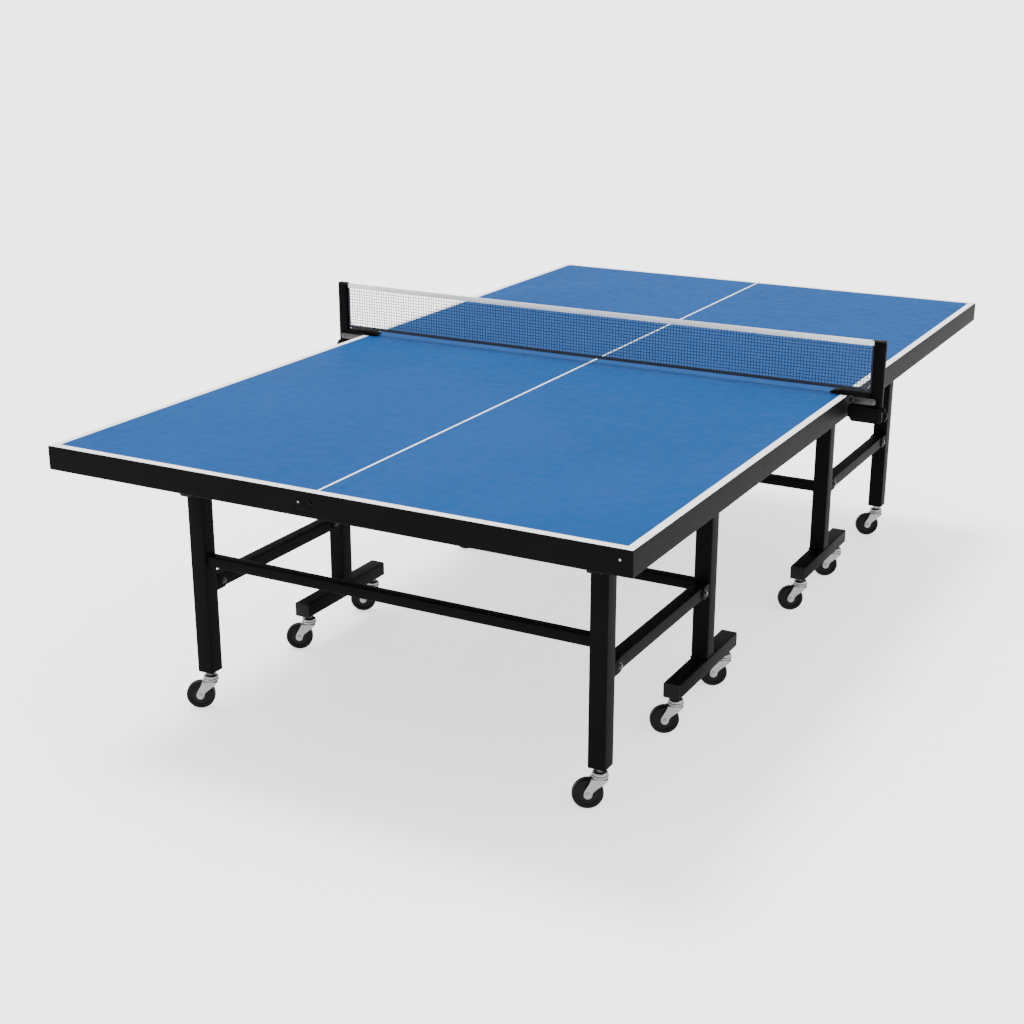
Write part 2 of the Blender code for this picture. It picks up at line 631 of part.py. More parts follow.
def clamp_mesh():
    """The clamp: an upper jaw over the playing surface and a housing round the post's foot. Stands at +X."""
    edge = TABLE_WIDTH / 2
    half = CLAMP_DEPTH / 2
    jaw_half = half - JAW_INSET
    tip = edge - JAW_OVER_TABLE
    jaw_low = TABLE_HEIGHT + JAW_CLEARANCE
    post_face = POST_INNER_X - TOUCH_GAP
    post_back = POST_INNER_X + POST_WIDTH
    jaw_points = [
        (tip, jaw_low + JAW_TIP_HEIGHT),
        (tip + JAW_TIP_LENGTH, jaw_low),
        (post_face, jaw_low),
        (post_face, jaw_low + JAW_THICKNESS),
        (tip + JAW_SLOPE_LENGTH, jaw_low + JAW_THICKNESS),
    ]
    jaw = outline(jaw_points, -jaw_half, jaw_half, across=1)
    web_low = (post_face - WEB_THICKNESS, -jaw_half, CLAMP_TOP - CLAMP_ROOF / 2)
    web = block(web_low, (post_face, jaw_half, jaw_low + JAW_THICKNESS / 3))
    housing_low = (edge + CLAMP_FROM_EDGE, -half, POST_BOTTOM)
    housing = block(housing_low, (post_back - CLAMP_BEHIND_POST, half, CLAMP_TOP), 0)
    slot_half = POST_DEPTH / 2 + TOUCH_GAP
    slot = block(
        (post_face, -slot_half, POST_BOTTOM - CLAMP_WALL),
        (post_back + CLAMP_WALL, slot_half, CLAMP_TOP + CLAMP_WALL),
    )
    hollow = block(
        (edge + CLAMP_FROM_EDGE + CLAMP_WALL, -half + CLAMP_WALL, POST_BOTTOM - CLAMP_WALL),
        (post_face - CLAMP_INNER_WALL, half - CLAMP_WALL, CLAMP_TOP - CLAMP_ROOF),
    )
    return combine(housing, [web, jaw], cut=[slot, hollow])


def build_net():
    """The net set under one empty: it lifts off the table in one piece."""
    root = empty("net_set", (0.0, 0.0, TABLE_HEIGHT))
    lower = Matrix.Translation((0.0, 0.0, -TABLE_HEIGHT))
    end = POST_INNER_X - TOUCH_GAP
    half = NET_THICKNESS / 2
    net = block((-end, -half, NET_BOTTOM), (end, half, TABLE_HEIGHT + NET_HEIGHT))
    net.transform(lower)
    part("net", net, NETTING, root)
    post, clamp, lever = post_mesh(), clamp_mesh(), lever_mesh()
    post.transform(lower)
    clamp.transform(lower)
    pivot_x, pivot_z = lever_pivot()
    lever.transform(Matrix.Translation((-pivot_x, 0.0, -pivot_z)))
    for side_name, side, turn in (("left", -1, math.pi), ("right", 1, 0.0)):
        part(f"net_post_{side_name}", post, BLACK_PAINT, root, turn_z=turn)
        part(f"clamp_{side_name}", clamp, BLACK_PAINT, root, turn_z=turn)
        hinge = (side * pivot_x, 0.0, pivot_z - TABLE_HEIGHT)
        part(f"clamp_lever_{side_name}", lever, GREY_STEEL, root, hinge, turn)


for old in list(bpy.data.objects):
    bpy.data.objects.remove(old)
PARTS = bpy.data.collections.new("ping_pong_table")
BENCH = bpy.data.collections.new("cutters")
for collection in (PARTS, BENCH):
    bpy.context.scene.collection.children.link(collection)

T_LEG = t_leg_mesh()
END_LEG = end_leg_mesh()
SIDE_BAR_SHAPE = side_bar_mesh()
HINGE_RAIL = hinge_rail_mesh()
FORK = fork_mesh()
WHEEL = wheel_mesh()
CROSSBAR_SHAPE = tube(
    (-LEG_X + LEG / 2 + TOUCH_GAP, -CROSSBAR / 2, -CROSSBAR / 2),
    (LEG_X - LEG / 2 - TOUCH_GAP, CROSSBAR / 2, CROSSBAR / 2),
    0,
)

for half_name, half_turn in (("a", 0.0), ("b", math.pi)):
    build_half(half_name, half_turn)
build_latch(bpy.data.objects["fold_axis_a"])
build_net()
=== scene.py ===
"""Looks of the ping pong table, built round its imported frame."""

import json
import math

import bmesh
import bpy
from mathutils import Matrix, Vector, noise


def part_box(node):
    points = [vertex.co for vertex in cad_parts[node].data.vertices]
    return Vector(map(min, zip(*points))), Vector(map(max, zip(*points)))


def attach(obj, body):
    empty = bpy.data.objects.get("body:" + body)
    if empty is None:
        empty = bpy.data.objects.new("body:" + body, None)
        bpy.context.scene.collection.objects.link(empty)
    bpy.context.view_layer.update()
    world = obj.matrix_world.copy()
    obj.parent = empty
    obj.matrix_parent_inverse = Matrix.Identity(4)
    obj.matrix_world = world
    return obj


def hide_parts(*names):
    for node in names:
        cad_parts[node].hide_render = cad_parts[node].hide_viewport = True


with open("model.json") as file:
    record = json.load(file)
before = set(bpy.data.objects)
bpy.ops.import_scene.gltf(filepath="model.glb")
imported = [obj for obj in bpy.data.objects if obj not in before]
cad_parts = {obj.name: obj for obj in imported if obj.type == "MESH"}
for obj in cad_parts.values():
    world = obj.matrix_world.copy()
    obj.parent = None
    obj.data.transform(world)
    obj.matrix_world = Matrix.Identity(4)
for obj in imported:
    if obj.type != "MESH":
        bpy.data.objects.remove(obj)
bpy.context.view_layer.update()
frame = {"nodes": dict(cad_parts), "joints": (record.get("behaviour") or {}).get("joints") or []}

# Vector noise would start from the clock without a seed.
NOISE_SEED = 7
noise.seed_set(NOISE_SEED)
JOINTS = {joint["name"]: joint for joint in frame["joints"]}
HALVES = (("a", 0.0), ("b", math.pi))
SIDES = (("left", -1), ("right", 1))
X, Y, Z = Vector((1, 0, 0)), Vector((0, 1, 0)), Vector((0, 0, 1))


def shown(name, data):
    """A new object in the scene."""
    made = bpy.data.objects.new(name, data)
    bpy.context.scene.collection.objects.link(made)
    return made


# -------- camera

CAMERA_PLACE = (2.006, -4.157, 1.873)
CAMERA_AZIMUTH = 28.52
CAMERA_PITCH = -18.75
CAMERA_LENS = 58.18

lens = bpy.data.cameras.new("camera")
lens.lens = CAMERA_LENS
lens.sensor_width = 36.0
camera = shown("camera", lens)
camera.location = CAMERA_PLACE
camera.rotation_euler = (math.radians(90.0 + CAMERA_PITCH), 0.0, math.radians(CAMERA_AZIMUTH))
bpy.context.scene.camera = camera


# -------- materials

def shade(colour, factor):
    return tuple(min(1.0, channel * factor) for channel in colour)


def map_range(nodes, links, value, start, end, low, high, interpolation="LINEAR"):
    """A number that runs from low to high as value runs from start to end."""
    node = nodes.new("ShaderNodeMapRange")
    node.interpolation_type = interpolation
    limits = {"From Min": start, "From Max": end, "To Min": low, "To Max": high}
    for socket, number in limits.items():
        node.inputs[socket].default_value = number
    links.new(value, node.inputs["Value"])
    return node.outputs["Result"]


class Look:
    """A Principled material whose colour, roughness and bump come from procedural textures."""

    def __init__(self, name, roughness, metallic=0.0, **sockets):
        self.material = bpy.data.materials.new(name)
        self.material.use_nodes = True
        self.nodes = self.material.node_tree.nodes
        self.links = self.material.node_tree.links
        self.shader = self.nodes["Principled BSDF"]
        self.shader.inputs["Roughness"].default_value = roughness
        self.shader.inputs["Metallic"].default_value = metallic
        for socket, value in sockets.items():
            self.shader.inputs[socket.replace("_", " ")].default_value = value
        self.place = self.nodes.new("ShaderNodeTexCoord").outputs["Object"]
        self.bumped = None

    def noise(self, scale, detail=3.0, stretch=(1.0, 1.0, 1.0), rough=0.5):
        mapping = self.nodes.new("ShaderNodeMapping")
        mapping.inputs["Scale"].default_value = stretch
        self.links.new(self.place, mapping.inputs["Vector"])
        texture = self.nodes.new("ShaderNodeTexNoise")
        texture.inputs["Scale"].default_value = scale
        texture.inputs["Detail"].default_value = detail
        texture.inputs["Roughness"].default_value = rough
        self.links.new(mapping.outputs["Vector"], texture.inputs["Vector"])
        return texture.outputs["Fac"]

    def wave(self, scale, direction, distortion=0.0):
        texture = self.nodes.new("ShaderNodeTexWave")
        texture.bands_direction = direction
        texture.inputs["Scale"].default_value = scale
        texture.inputs["Distortion"].default_value = distortion
        self.links.new(self.place, texture.inputs["Vector"])
        return texture.outputs["Fac"]

    def spread(self, value, low, high, start=0.3, end=0.7):
        return map_range(self.nodes, self.links, value, start, end, low, high)

    def ramp(self, value, *stops):
        """A colour ramp of (position, colour) stops."""
        node = self.nodes.new("ShaderNodeValToRGB")
        elements = node.color_ramp.elements
        while len(elements) < len(stops):
            elements.new(0.5)
        for element, (position, colour) in zip(elements, stops, strict=True):
            element.position = position
            element.color = (*colour, 1.0)
        self.links.new(value, node.inputs["Fac"])
        return node.outputs["Color"]

    def clouded(self, texture, colour, dark, light):
        """The colour, darker and lighter in patches of a texture."""
        return self.ramp(texture, (0.30, shade(colour, dark)), (0.70, shade(colour, light)))

    def mix(self, share, first, second):
        """The colour first where share is 0 and second where it is 1. Either may be an output or a colour."""
        node = self.nodes.new("ShaderNodeMix")
        node.data_type = "RGBA"
        self.links.new(share, node.inputs[0])
        for socket, colour in ((node.inputs[6], first), (node.inputs[7], second)):
            if isinstance(colour, tuple):
                socket.default_value = (*colour, 1.0)
            else:
                self.links.new(colour, socket)
        return node.outputs[2]

    def colour(self, output):
        self.links.new(output, self.shader.inputs["Base Color"])
        return self

    def rough(self, output):
        self.links.new(output, self.shader.inputs["Roughness"])
        return self

    def bump(self, height, distance, strength=1.0):
        node = self.nodes.new("ShaderNodeBump")
        node.inputs["Distance"].default_value = distance
        node.inputs["Strength"].default_value = strength
        self.links.new(height, node.inputs["Height"])
        if self.bumped is not None:
            self.links.new(self.bumped, node.inputs["Normal"])
        self.bumped = node.outputs["Normal"]
        self.links.new(self.bumped, self.shader.inputs["Normal"])
        return self


def powder_coat(name, colour, roughness):
    """Satin powder coat: a fine orange-peel skin, faint cloudiness and a few dusty rub marks."""
    look = Look(name, roughness, Specular_IOR_Level=0.02)
    cloudy = look.clouded(look.noise(7.0, 4.0), colour, 0.85, 1.15)
    rubs = look.spread(look.noise(30.0, 6.0, rough=0.7), 0.0, 0.2, 0.63, 0.80)
    look.colour(look.mix(rubs, cloudy, shade(colour, 2.4)))
    look.rough(look.spread(look.noise(140.0, 4.0), roughness - 0.02, roughness + 0.03))
    return look.bump(look.noise(900.0, 2.0), 0.00012, 0.5).material


def playing_paint():
    """The matte blue of the playing surface, rolled on lengthwise, with faint scuffs."""
    blue = (0.0080, 0.057, 0.196)
    look = Look("playing_blue", 0.55, Specular_IOR_Level=0.03)
    cloudy = look.clouded(look.noise(2.2, 3.0), blue, 0.94, 1.06)
    streaks = look.spread(look.noise(60.0, 3.0, (1.0, 0.03, 1.0)), 0.0, 0.30, 0.35, 0.75)
    rolled = look.mix(streaks, cloudy, shade(blue, 1.13))
    scuffs = look.spread(look.noise(21.0, 7.0, (1.0, 0.5, 1.0), 0.75), 0.0, 0.15, 0.64, 0.78)
    look.colour(look.mix(scuffs, rolled, (0.022, 0.088, 0.25)))
    look.rough(look.spread(look.noise(35.0, 5.0), 0.50, 0.62))
    return look.bump(look.noise(1500.0, 2.0), 0.00010, 0.55).material


def line_paint():
    """White line paint, a little uneven at its surface."""
    look = Look("line_white", 0.45)
    look.colour(look.ramp(look.noise(15.0, 5.0), (0.3, (0.90, 0.905, 0.91)), (0.7, (0.96, 0.965, 0.97))))
    return look.bump(look.noise(1100.0, 2.0), 0.00010, 0.5).material


def underside_board():
    """The sealed dark underside of the board, with a fine fibre grain."""
    look = Look("board_underside", 0.7)
    fibres = look.noise(220.0, 5.0, (1.0, 0.25, 1.0), 0.65)
    look.colour(look.ramp(fibres, (0.30, (0.030, 0.029, 0.028)), (0.72, (0.060, 0.057, 0.053))))
    return look.bump(fibres, 0.0002, 0.5).material


def zinc_plate(name, colour, low, high):
    """Bright plated steel with a faint spangle and fine polishing lines."""
    look = Look(name, low, 1.0)
    look.colour(look.clouded(look.noise(160.0, 3.0), colour, 0.88, 1.08))
    look.rough(look.spread(look.noise(90.0, 5.0), low, high))
    return look.bump(look.noise(500.0, 3.0, (1.0, 1.0, 0.08)), 0.00004, 0.5).material


def moulded(name, colour, roughness):
    """Moulded rubber or nylon: a fine spark-eroded grain with a little dust."""
    look = Look(name, roughness, Specular_IOR_Level=0.10)
    dust = look.spread(look.noise(70.0, 6.0, rough=0.7), 0.0, 0.35, 0.50, 0.80)
    grain = look.clouded(look.noise(12.0, 3.0), colour, 0.85, 1.2)
    look.colour(look.mix(dust, grain, shade(colour, 2.0)))
    look.rough(look.spread(look.noise(45.0, 4.0), roughness - 0.08, roughness + 0.08))
    return look.bump(look.noise(1600.0, 3.0), 0.00010, 0.5).material


def cloth(name, colour, thread, sheen=0.25):
    """Woven tape: crossing threads in the bump and the colour."""
    look = Look(name, 0.9, Sheen_Weight=sheen)
    warp, weft = look.wave(thread, "X", 0.4), look.wave(thread, "Z", 0.4)
    over = look.spread(warp, 0.0, 1.0, 0.0, 1.0)
    woven = look.mix(over, look.ramp(weft, (0.0, shade(colour, 0.80)), (1.0, colour)), shade(colour, 0.9))
    look.colour(look.mix(look.spread(look.noise(40.0, 4.0), 0.0, 0.3), woven, shade(colour, 0.72)))
    look.bump(warp, 0.00015, 0.6)
    return look.bump(weft, 0.00015, 0.6).material


BLACK = powder_coat("black_powder_coat", (0.0027, 0.0027, 0.0028), 0.52)
BLUE = playing_paint()
WHITE = line_paint()
BOARD = underside_board()
ZINC = zinc_plate("zinc_plate", (0.26, 0.265, 0.27), 0.17, 0.34)
GREY = zinc_plate("grey_steel", (0.30, 0.30, 0.305), 0.34, 0.50)
DARK = zinc_plate("dark_steel", (0.055, 0.055, 0.057), 0.32, 0.46)
TYRE = moulded("wheel_tread", (0.0020, 0.0020, 0.0021), 0.46)
HUB = moulded("wheel_core", (0.0032, 0.0032, 0.0034), 0.36)
PLASTIC = moulded("cap_plastic", (0.0028, 0.0028, 0.0030), 0.40)
RUBBER = moulded("pad_rubber", (0.020, 0.020, 0.021), 0.65)
TAPE = cloth("tape_canvas", (0.96, 0.96, 0.96), 420.0)
STITCH = cloth("stitch_thread", (0.42, 0.42, 0.43), 900.0)
BAND = cloth("band_webbing", (0.010, 0.014, 0.030), 420.0)
THREAD = cloth("net_thread", (0.006, 0.014, 0.042), 900.0, 0.04)

# Each look is a material slot's name and the materials of a piece.
PLAYING_TOP = "blue_top", BLUE, WHITE, BOARD, BLACK
PAINTED = "black_paint", BLACK
PLUGGED = "black_paint", BLACK, PLASTIC
CAPPED = "black_paint", PLASTIC
SCREWS = "zinc", GREY
PLATED = "zinc", ZINC
BOLTS = "dark_steel", DARK
BLACK_STEEL = "dark_steel", BLACK
LATCH_STEEL = "dark_steel", BLACK, GREY, ZINC
WHEEL = "wheel_rubber", TYRE, HUB
PAD = "wheel_rubber", RUBBER


# -------- shapes

def rounded_rectangle(width, height, radius, steps=4):
    """Points round a rectangle with round corners, anticlockwise, centred on (0, 0)."""
    points = []
    for corner, (sx, sy) in enumerate(((1, 1), (-1, 1), (-1, -1), (1, -1))):
        for step in range(steps + 1):
            angle = math.radians(90 * corner + 90 * step / steps)
            u = sx * (width / 2 - radius) + radius * math.cos(angle)
            v = sy * (height / 2 - radius) + radius * math.sin(angle)
            points.append((u, v))
    return points


def loft(shape, rings, closed=False, slot=0):
    """Quads between rings of equal length. The end rings are filled, or joined to each other if closed."""
    made = [[shape.verts.new(point) for point in ring] for ring in rings]
    count = len(made[0])
    pairs = list(zip(made, made[1:], strict=False))
    if closed:
        pairs.append((made[-1], made[0]))
    faces = []
    for near, far in pairs:
        for i in range(count):
            j = (i + 1) % count
            faces.append(shape.faces.new((near[i], near[j], far[j], far[i])))
    if not closed:
        faces.append(shape.faces.new(made[0][::-1]))
        faces.append(shape.faces.new(made[-1]))
    for face in faces:
        face.material_index = slot
        face.smooth = True


def box_rings(low, high, axis, radius, least, stations):
    """Round-cornered rings along a box, one for each (inset, distance). Corners keep a least radius."""
    low, high = Vector(low), Vector(high)
    middle, size = (low + high) / 2, high - low
    first, second = [i for i in range(3) if i != axis]
    rings = []
    for inset, distance in stations:
        corner = max(radius - inset, least)
        ring = []
        for u, v in rounded_rectangle(size[first] - 2 * inset, size[second] - 2 * inset, corner):
            values = [u + middle[first], v + middle[second]]
            values.insert(axis, distance)
            ring.append(Vector(values))
        rings.append(ring)
    return rings


def tube(shape, low, high, axis, radius=0.003, wall=0.0018, edge=0.0005):
    """An open square tube with round corners and softened ends."""
    start, end = low[axis], high[axis]
    outside = ((edge, start), (0.0, start + edge), (0.0, end - edge), (edge, end))
    stations = (*outside, (wall, end), (wall, start))
    loft(shape, box_rings(low, high, axis, radius, 0.0006, stations), closed=True)


def bar(shape, low, high, axis, radius=0.003, edge=0.001, slot=0):
    """A closed bar with round long edges and softened ends."""
    start, end, soft = low[axis], high[axis], 0.3 * edge
    stations = ((edge, start), (soft, start + soft), (0.0, start + edge),
                (0.0, end - edge), (soft, end - soft), (edge, end))
    loft(shape, box_rings(low, high, axis, radius, 0.0003, stations), slot=slot)


def circle(sides):
    """The cosine and sine of each step of a full turn."""
    angles = [2 * math.pi * step / sides for step in range(sides)]
    return [(math.cos(angle), math.sin(angle)) for angle in angles]


def lathe(shape, profile, place, sides=32, closed=False, slot=0):
    """A profile of (radius, height) turned about place's Z axis."""
    turn = circle(sides)
    rings = []
    for radius, height in profile:
        rings.append([place @ Vector((radius * c, radius * s, height)) for c, s in turn])
    loft(shape, rings, closed, slot)


def plate(shape, outline, thickness, place, edge=0.0005):
    """A flat outline of (u, v) points in place's XY plane, with softened edges."""
    solid = bmesh.new()
    face = solid.faces.new([solid.verts.new((u, v, -thickness / 2)) for u, v in outline])
    raised = bmesh.ops.extrude_face_region(solid, geom=[face])
    lifted = [item for item in raised["geom"] if isinstance(item, bmesh.types.BMVert)]
    bmesh.ops.translate(solid, verts=lifted, vec=(0, 0, thickness))
    bmesh.ops.recalc_face_normals(solid, faces=solid.faces)
    rims = [e for e in solid.edges if e.is_manifold and e.calc_face_angle() > math.radians(35)]
    bmesh.ops.bevel(solid, geom=rims, offset=edge, segments=2, profile=0.5, affect="EDGES",
                    clamp_overlap=True)
    solid.transform(place)
    for added in solid.faces:
        added.smooth = True
    mesh = bpy.data.meshes.new("plate")
    solid.to_mesh(mesh)
    solid.free()
    shape.from_mesh(mesh)
    bpy.data.meshes.remove(mesh)


def facing_x(x):
    """A frame at x whose XY plane is the world's YZ plane."""
    return Matrix(((0, 0, 1, x), (1, 0, 0, 0), (0, 1, 0, 0), (0, 0, 0, 1)))


def facing_y(y):
    """A frame at y whose XY plane is the world's XZ plane."""
    return Matrix(((1, 0, 0, 0), (0, 0, 1, y), (0, 1, 0, 0), (0, 0, 0, 1)))


def towards(place, direction):
    """A frame at place whose Z axis points in a direction."""
    turn = Vector(direction).to_track_quat("Z", "Y").to_matrix().to_4x4()
    return Matrix.Translation(place) @ turn


def sweep(shape, points, radius, sides=8, closed=False, slot=0):
    """A round wire through points. radius is a number, or one for each point."""
    count = len(points)
    radii = radius if isinstance(radius, list) else [radius] * count
    turn = circle(sides)
    rings = []
    side = None
    for i, point in enumerate(points):
        before = points[(i - 1) % count] if closed or i else point
        after = points[(i + 1) % count] if closed or i < count - 1 else point
        run = (after - before).normalized()
        if side is None:
            side = run.orthogonal().normalized()
        side = (side - run * side.dot(run)).normalized()
        other = run.cross(side)
        rings.append([point + radii[i] * (c * side + s * other) for c, s in turn])
    loft(shape, rings, closed, slot)


def hex_head(shape, place, across_flats=0.010, height=0.004):
    """A hexagon head with a domed top on a washer, standing on place's XY plane."""
    corner = across_flats / math.sqrt(3)
    washer = across_flats * 0.78
    rim = ((washer * 0.94, 0.0), (washer, 0.0003), (washer, 0.0009), (washer * 0.94, 0.0012))
    lathe(shape, rim, place, 28)
    head = ((corner * 0.97, 0.0010), (corner, 0.0014), (corner, height), (corner * 0.90, height + 0.0007))
    lathe(shape, head, place, 6)


def pan_head(shape, place, radius=0.0035, height=0.0018, slot=0):
    """A domed screw head with a hex socket's rim."""
    dome = []
    for angle in range(0, 70, 12):
        lean = math.radians(angle)
        dome.append((radius * math.cos(lean), height * math.sin(lean)))
    socket = [(radius * 0.34, height * 0.96), (radius * 0.30, height * 0.45)]
    lathe(shape, dome + socket, place, 24, slot=slot)


def smoothed(knots, steps):
    """Points on a Catmull-Rom curve through the knots."""
    points = []
    for k in range(len(knots) - 1):
        before, start, end = knots[max(k - 1, 0)], knots[k], knots[k + 1]
        after = knots[min(k + 2, len(knots) - 1)]
        for step in range(steps):
            t = step / steps
            bend = (2 * before - 5 * start + 4 * end - after) * t * t
            points.append(0.5 * (2 * start + (end - before) * t + bend
                                 + (3 * start - before - 3 * end + after) * t * t * t))
    points.append(knots[-1])
    return points


def bead(shape, corners, radius=0.0022, pitch=0.0022):
    """A weld bead along a closed path, as a rippled wire."""
    points, radii = [], []
    for start, end in zip(corners, corners[1:] + corners[:1], strict=True):
        steps = max(2, round((end - start).length / pitch))
        for step in range(steps):
            points.append(start.lerp(end, step / steps))
            radii.append(radius * (1.0 + 0.16 * math.sin(len(points) * 2.1)))
    sweep(shape, points, radii, 6, closed=True)


def arc(centre, radius, start, end, steps):
    """Points of a circle's arc from one angle to another, in degrees."""
    points = []
    for step in range(steps + 1):
        angle = math.radians(start + (end - start) * step / steps)
        points.append((centre[0] + radius * math.cos(angle), centre[1] + radius * math.sin(angle)))
    return points


SHARP_ANGLE = math.radians(38.0)


def finished(shape, name):
    """The shape as a mesh, smooth but for its sharp edges."""
    bmesh.ops.recalc_face_normals(shape, faces=shape.faces)
    mesh = bpy.data.meshes.new(name)
    shape.to_mesh(mesh)
    shape.free()
    mesh.set_sharp_from_angle(angle=SHARP_ANGLE)
    return mesh


def modelled(fill):
    """Turns a function that fills an empty shape into one that returns its finished mesh."""
    def made(*values):
        shape = bmesh.new()
        fill(shape, *values)
        return finished(shape, fill.__name__)
    return made


def piece(name, mesh, look, body, place=None, stands_for=()):
    """One shown piece that rides on a body."""
    slot, *materials = look
    if not mesh.materials:
        for material in materials:
            mesh.materials.append(material)
    made = shown(name, mesh)
    if place is not None:
        made.matrix_world = place
    bpy.context.view_layer.update()
    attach(made, body)
    if stands_for:
        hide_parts(*stands_for)
    return made


def pieces(tag, place, rows):
    """Pieces that share a tag and a place, from rows of (name, mesh, look, body, CAD node or None)."""
    for name, mesh, look, body, node in rows:
        piece(f"{name}_{tag}", mesh, look, body, place, [f"{node}_{tag}"] if node else [])


def repaint(node, material):
    """Gives a CAD node that stays in view its material."""
    mesh = frame["nodes"][node].data
    mesh.materials.clear()
    mesh.materials.append(material)


# -------- tabletop

BORDER = 0.020
CENTRE_LINE = 0.0055
RIM = 0.0016
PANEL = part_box("tabletop_a")
HALF_WIDTH = PANEL[1].x
END_Y = PANEL[0].y
NET_Y = PANEL[1].y
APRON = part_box("end_apron_a")
LATCH_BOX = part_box("release_latch")
LATCH_POCKET = 0.0068
LATCH_PLAY = 0.0007
RAIL_CORNER = 0.0030


@modelled
def panel_mesh(shape):
    """The board of half a: blue with white lines on top, dark below, a little inside the rim."""
    low_z, high_z = PANEL[0].z, PANEL[1].z
    x_edge, y_end = HALF_WIDTH - RIM, END_Y + RIM
    soft = 0.0008
    xs = [-x_edge, -x_edge + soft, -HALF_WIDTH + BORDER, -CENTRE_LINE / 2]
    xs += [-x for x in reversed(xs)]
    ys = [y_end, y_end + soft, END_Y + BORDER, NET_Y - soft, NET_Y]
    last_i, last_j = len(xs) - 1, len(ys) - 1
    top, under = {}, {}
    for i, x in enumerate(xs):
        for j, y in enumerate(ys):
            outermost = i in (0, last_i) or j in (0, last_j)
            top[i, j] = shape.verts.new((x, y, high_z - (soft if outermost else 0.0)))
            under[i, j] = shape.verts.new((x, y, low_z))
    # Columns 2 and 4 are the blue ones, on either side of the centre line.
    for i in range(last_i):
        for j in range(last_j):
            upper = shape.faces.new((top[i, j], top[i + 1, j], top[i + 1, j + 1], top[i, j + 1]))
            upper.material_index = 0 if i in (2, 4) and j >= 2 else 1
            lower = shape.faces.new((under[i, j], under[i, j + 1], under[i + 1, j + 1], under[i + 1, j]))
            lower.material_index = 2
    edges = [((i, j), (i + 1, j)) for i in range(last_i) for j in (0, last_j)]
    edges += [((i, j + 1), (i, j)) for j in range(last_j) for i in (0, last_i)]
    for start, end in edges:
        side = shape.faces.new((top[start], under[start], under[end], top[end]))
        side.material_index = 3


def apron_profile():
    """The rail's outline as (depth inside the table's edge, height). Its thin rim covers the board's edge."""
    low, high, top = APRON[0].z, APRON[1].z, PANEL[1].z - 0.0009
    deep = APRON[1].y - APRON[0].y
    middle = low + RAIL_CORNER
    points = [(deep, high - 0.001), (deep - 0.001, high), (RIM - 0.0002, high + 0.0002)]
    points += [(RIM - 0.0002, top - 0.0005), (RIM - 0.0005, top), (0.0005, top), (0.0, top - 0.0005)]
    points += arc((RAIL_CORNER, middle), RAIL_CORNER, 180, 270, 5)
    points += arc((deep - RAIL_CORNER, middle), RAIL_CORNER, 270, 360, 5)
    return points


def rail_ring(side, y, mitre):
    """The rail's outline at a side of the table, cut straight at 0 or on the diagonal at 1."""
    return [Vector((side * (HALF_WIDTH - d), y + d * mitre, z)) for d, z in apron_profile()]


@modelled
def end_apron_mesh(shape):
    loft(shape, [rail_ring(-1, END_Y, 1), rail_ring(1, END_Y, 1)])


def pocketed(mesh):
    """A copy of the end rail's mesh with the latch's pocket cut into its face."""
    low, high = LATCH_BOX
    start = Vector((low.x, END_Y, low.z))
    end = Vector((high.x, END_Y + LATCH_POCKET, high.z))
    size = end - start + Vector((2 * LATCH_PLAY, 2 * LATCH_PLAY, 2 * LATCH_PLAY))
    place = Matrix.Translation((start + end) / 2) @ Matrix.Diagonal((*size, 1.0))
    cutter = bmesh.new()
    bmesh.ops.create_cube(cutter, size=1.0, matrix=place)
    tool = shown("tool", finished(cutter, "tool"))
    held = shown("held", mesh)
    cut = held.modifiers.new("pocket", "BOOLEAN")
    cut.object = tool
    cut.solver = "EXACT"
    result = bpy.data.meshes.new_from_object(held.evaluated_get(bpy.context.evaluated_depsgraph_get()))
    for made in (tool, held):
        bpy.data.objects.remove(made)
    result.materials.clear()
    result.set_sharp_from_angle(angle=SHARP_ANGLE)
    return result


@modelled
def side_apron_mesh(shape, side):
    gap = 0.0002
    loft(shape, [rail_ring(side, END_Y + gap, 1), rail_ring(side, NET_Y, 0)])


@modelled
def apron_details_mesh(shape):
    """The screw near the right corner of the end rail, and the board's fixing screws inside the rails."""
    corner = (HALF_WIDTH - 0.029, END_Y - 0.0001, APRON[1].z - 0.006)
    pan_head(shape, towards(corner, -Y), 0.0028, 0.0006)
    inset = 0.010
    fixings = [(-0.60 + 0.30 * step, END_Y + inset) for step in range(5)]
    for side in (-1, 1):
        fixings += [(side * (HALF_WIDTH - inset), END_Y + 0.14 + 0.27 * step) for step in range(5)]
    for x, y in fixings:
        pan_head(shape, towards((x, y, APRON[0].z - 0.0001), -Z), 0.0040)


def build_tabletops():
    panel, end_rail, screws = panel_mesh(), end_apron_mesh(), apron_details_mesh()
    side_rails = {name: side_apron_mesh(side) for name, side in SIDES}
    end_rails = {"a": pocketed(end_rail), "b": end_rail}
    for half, turn in HALVES:
        place = Matrix.Rotation(turn, 4, "Z")
        body = f"top_{half}"
        pieces(half, place, (("board", panel, PLAYING_TOP, body, "tabletop"),
                             ("end_rail", end_rails[half], PAINTED, body, "end_apron"),
                             ("rail_screws", screws, SCREWS, body, None)))
        for side_name, rail in side_rails.items():
            pieces(f"{half}_{side_name}", place, [("side_rail", rail, PAINTED, body, "side_apron")])


# -------- legs

def joint_place(name):
    return Vector(JOINTS[name]["pos_m"])


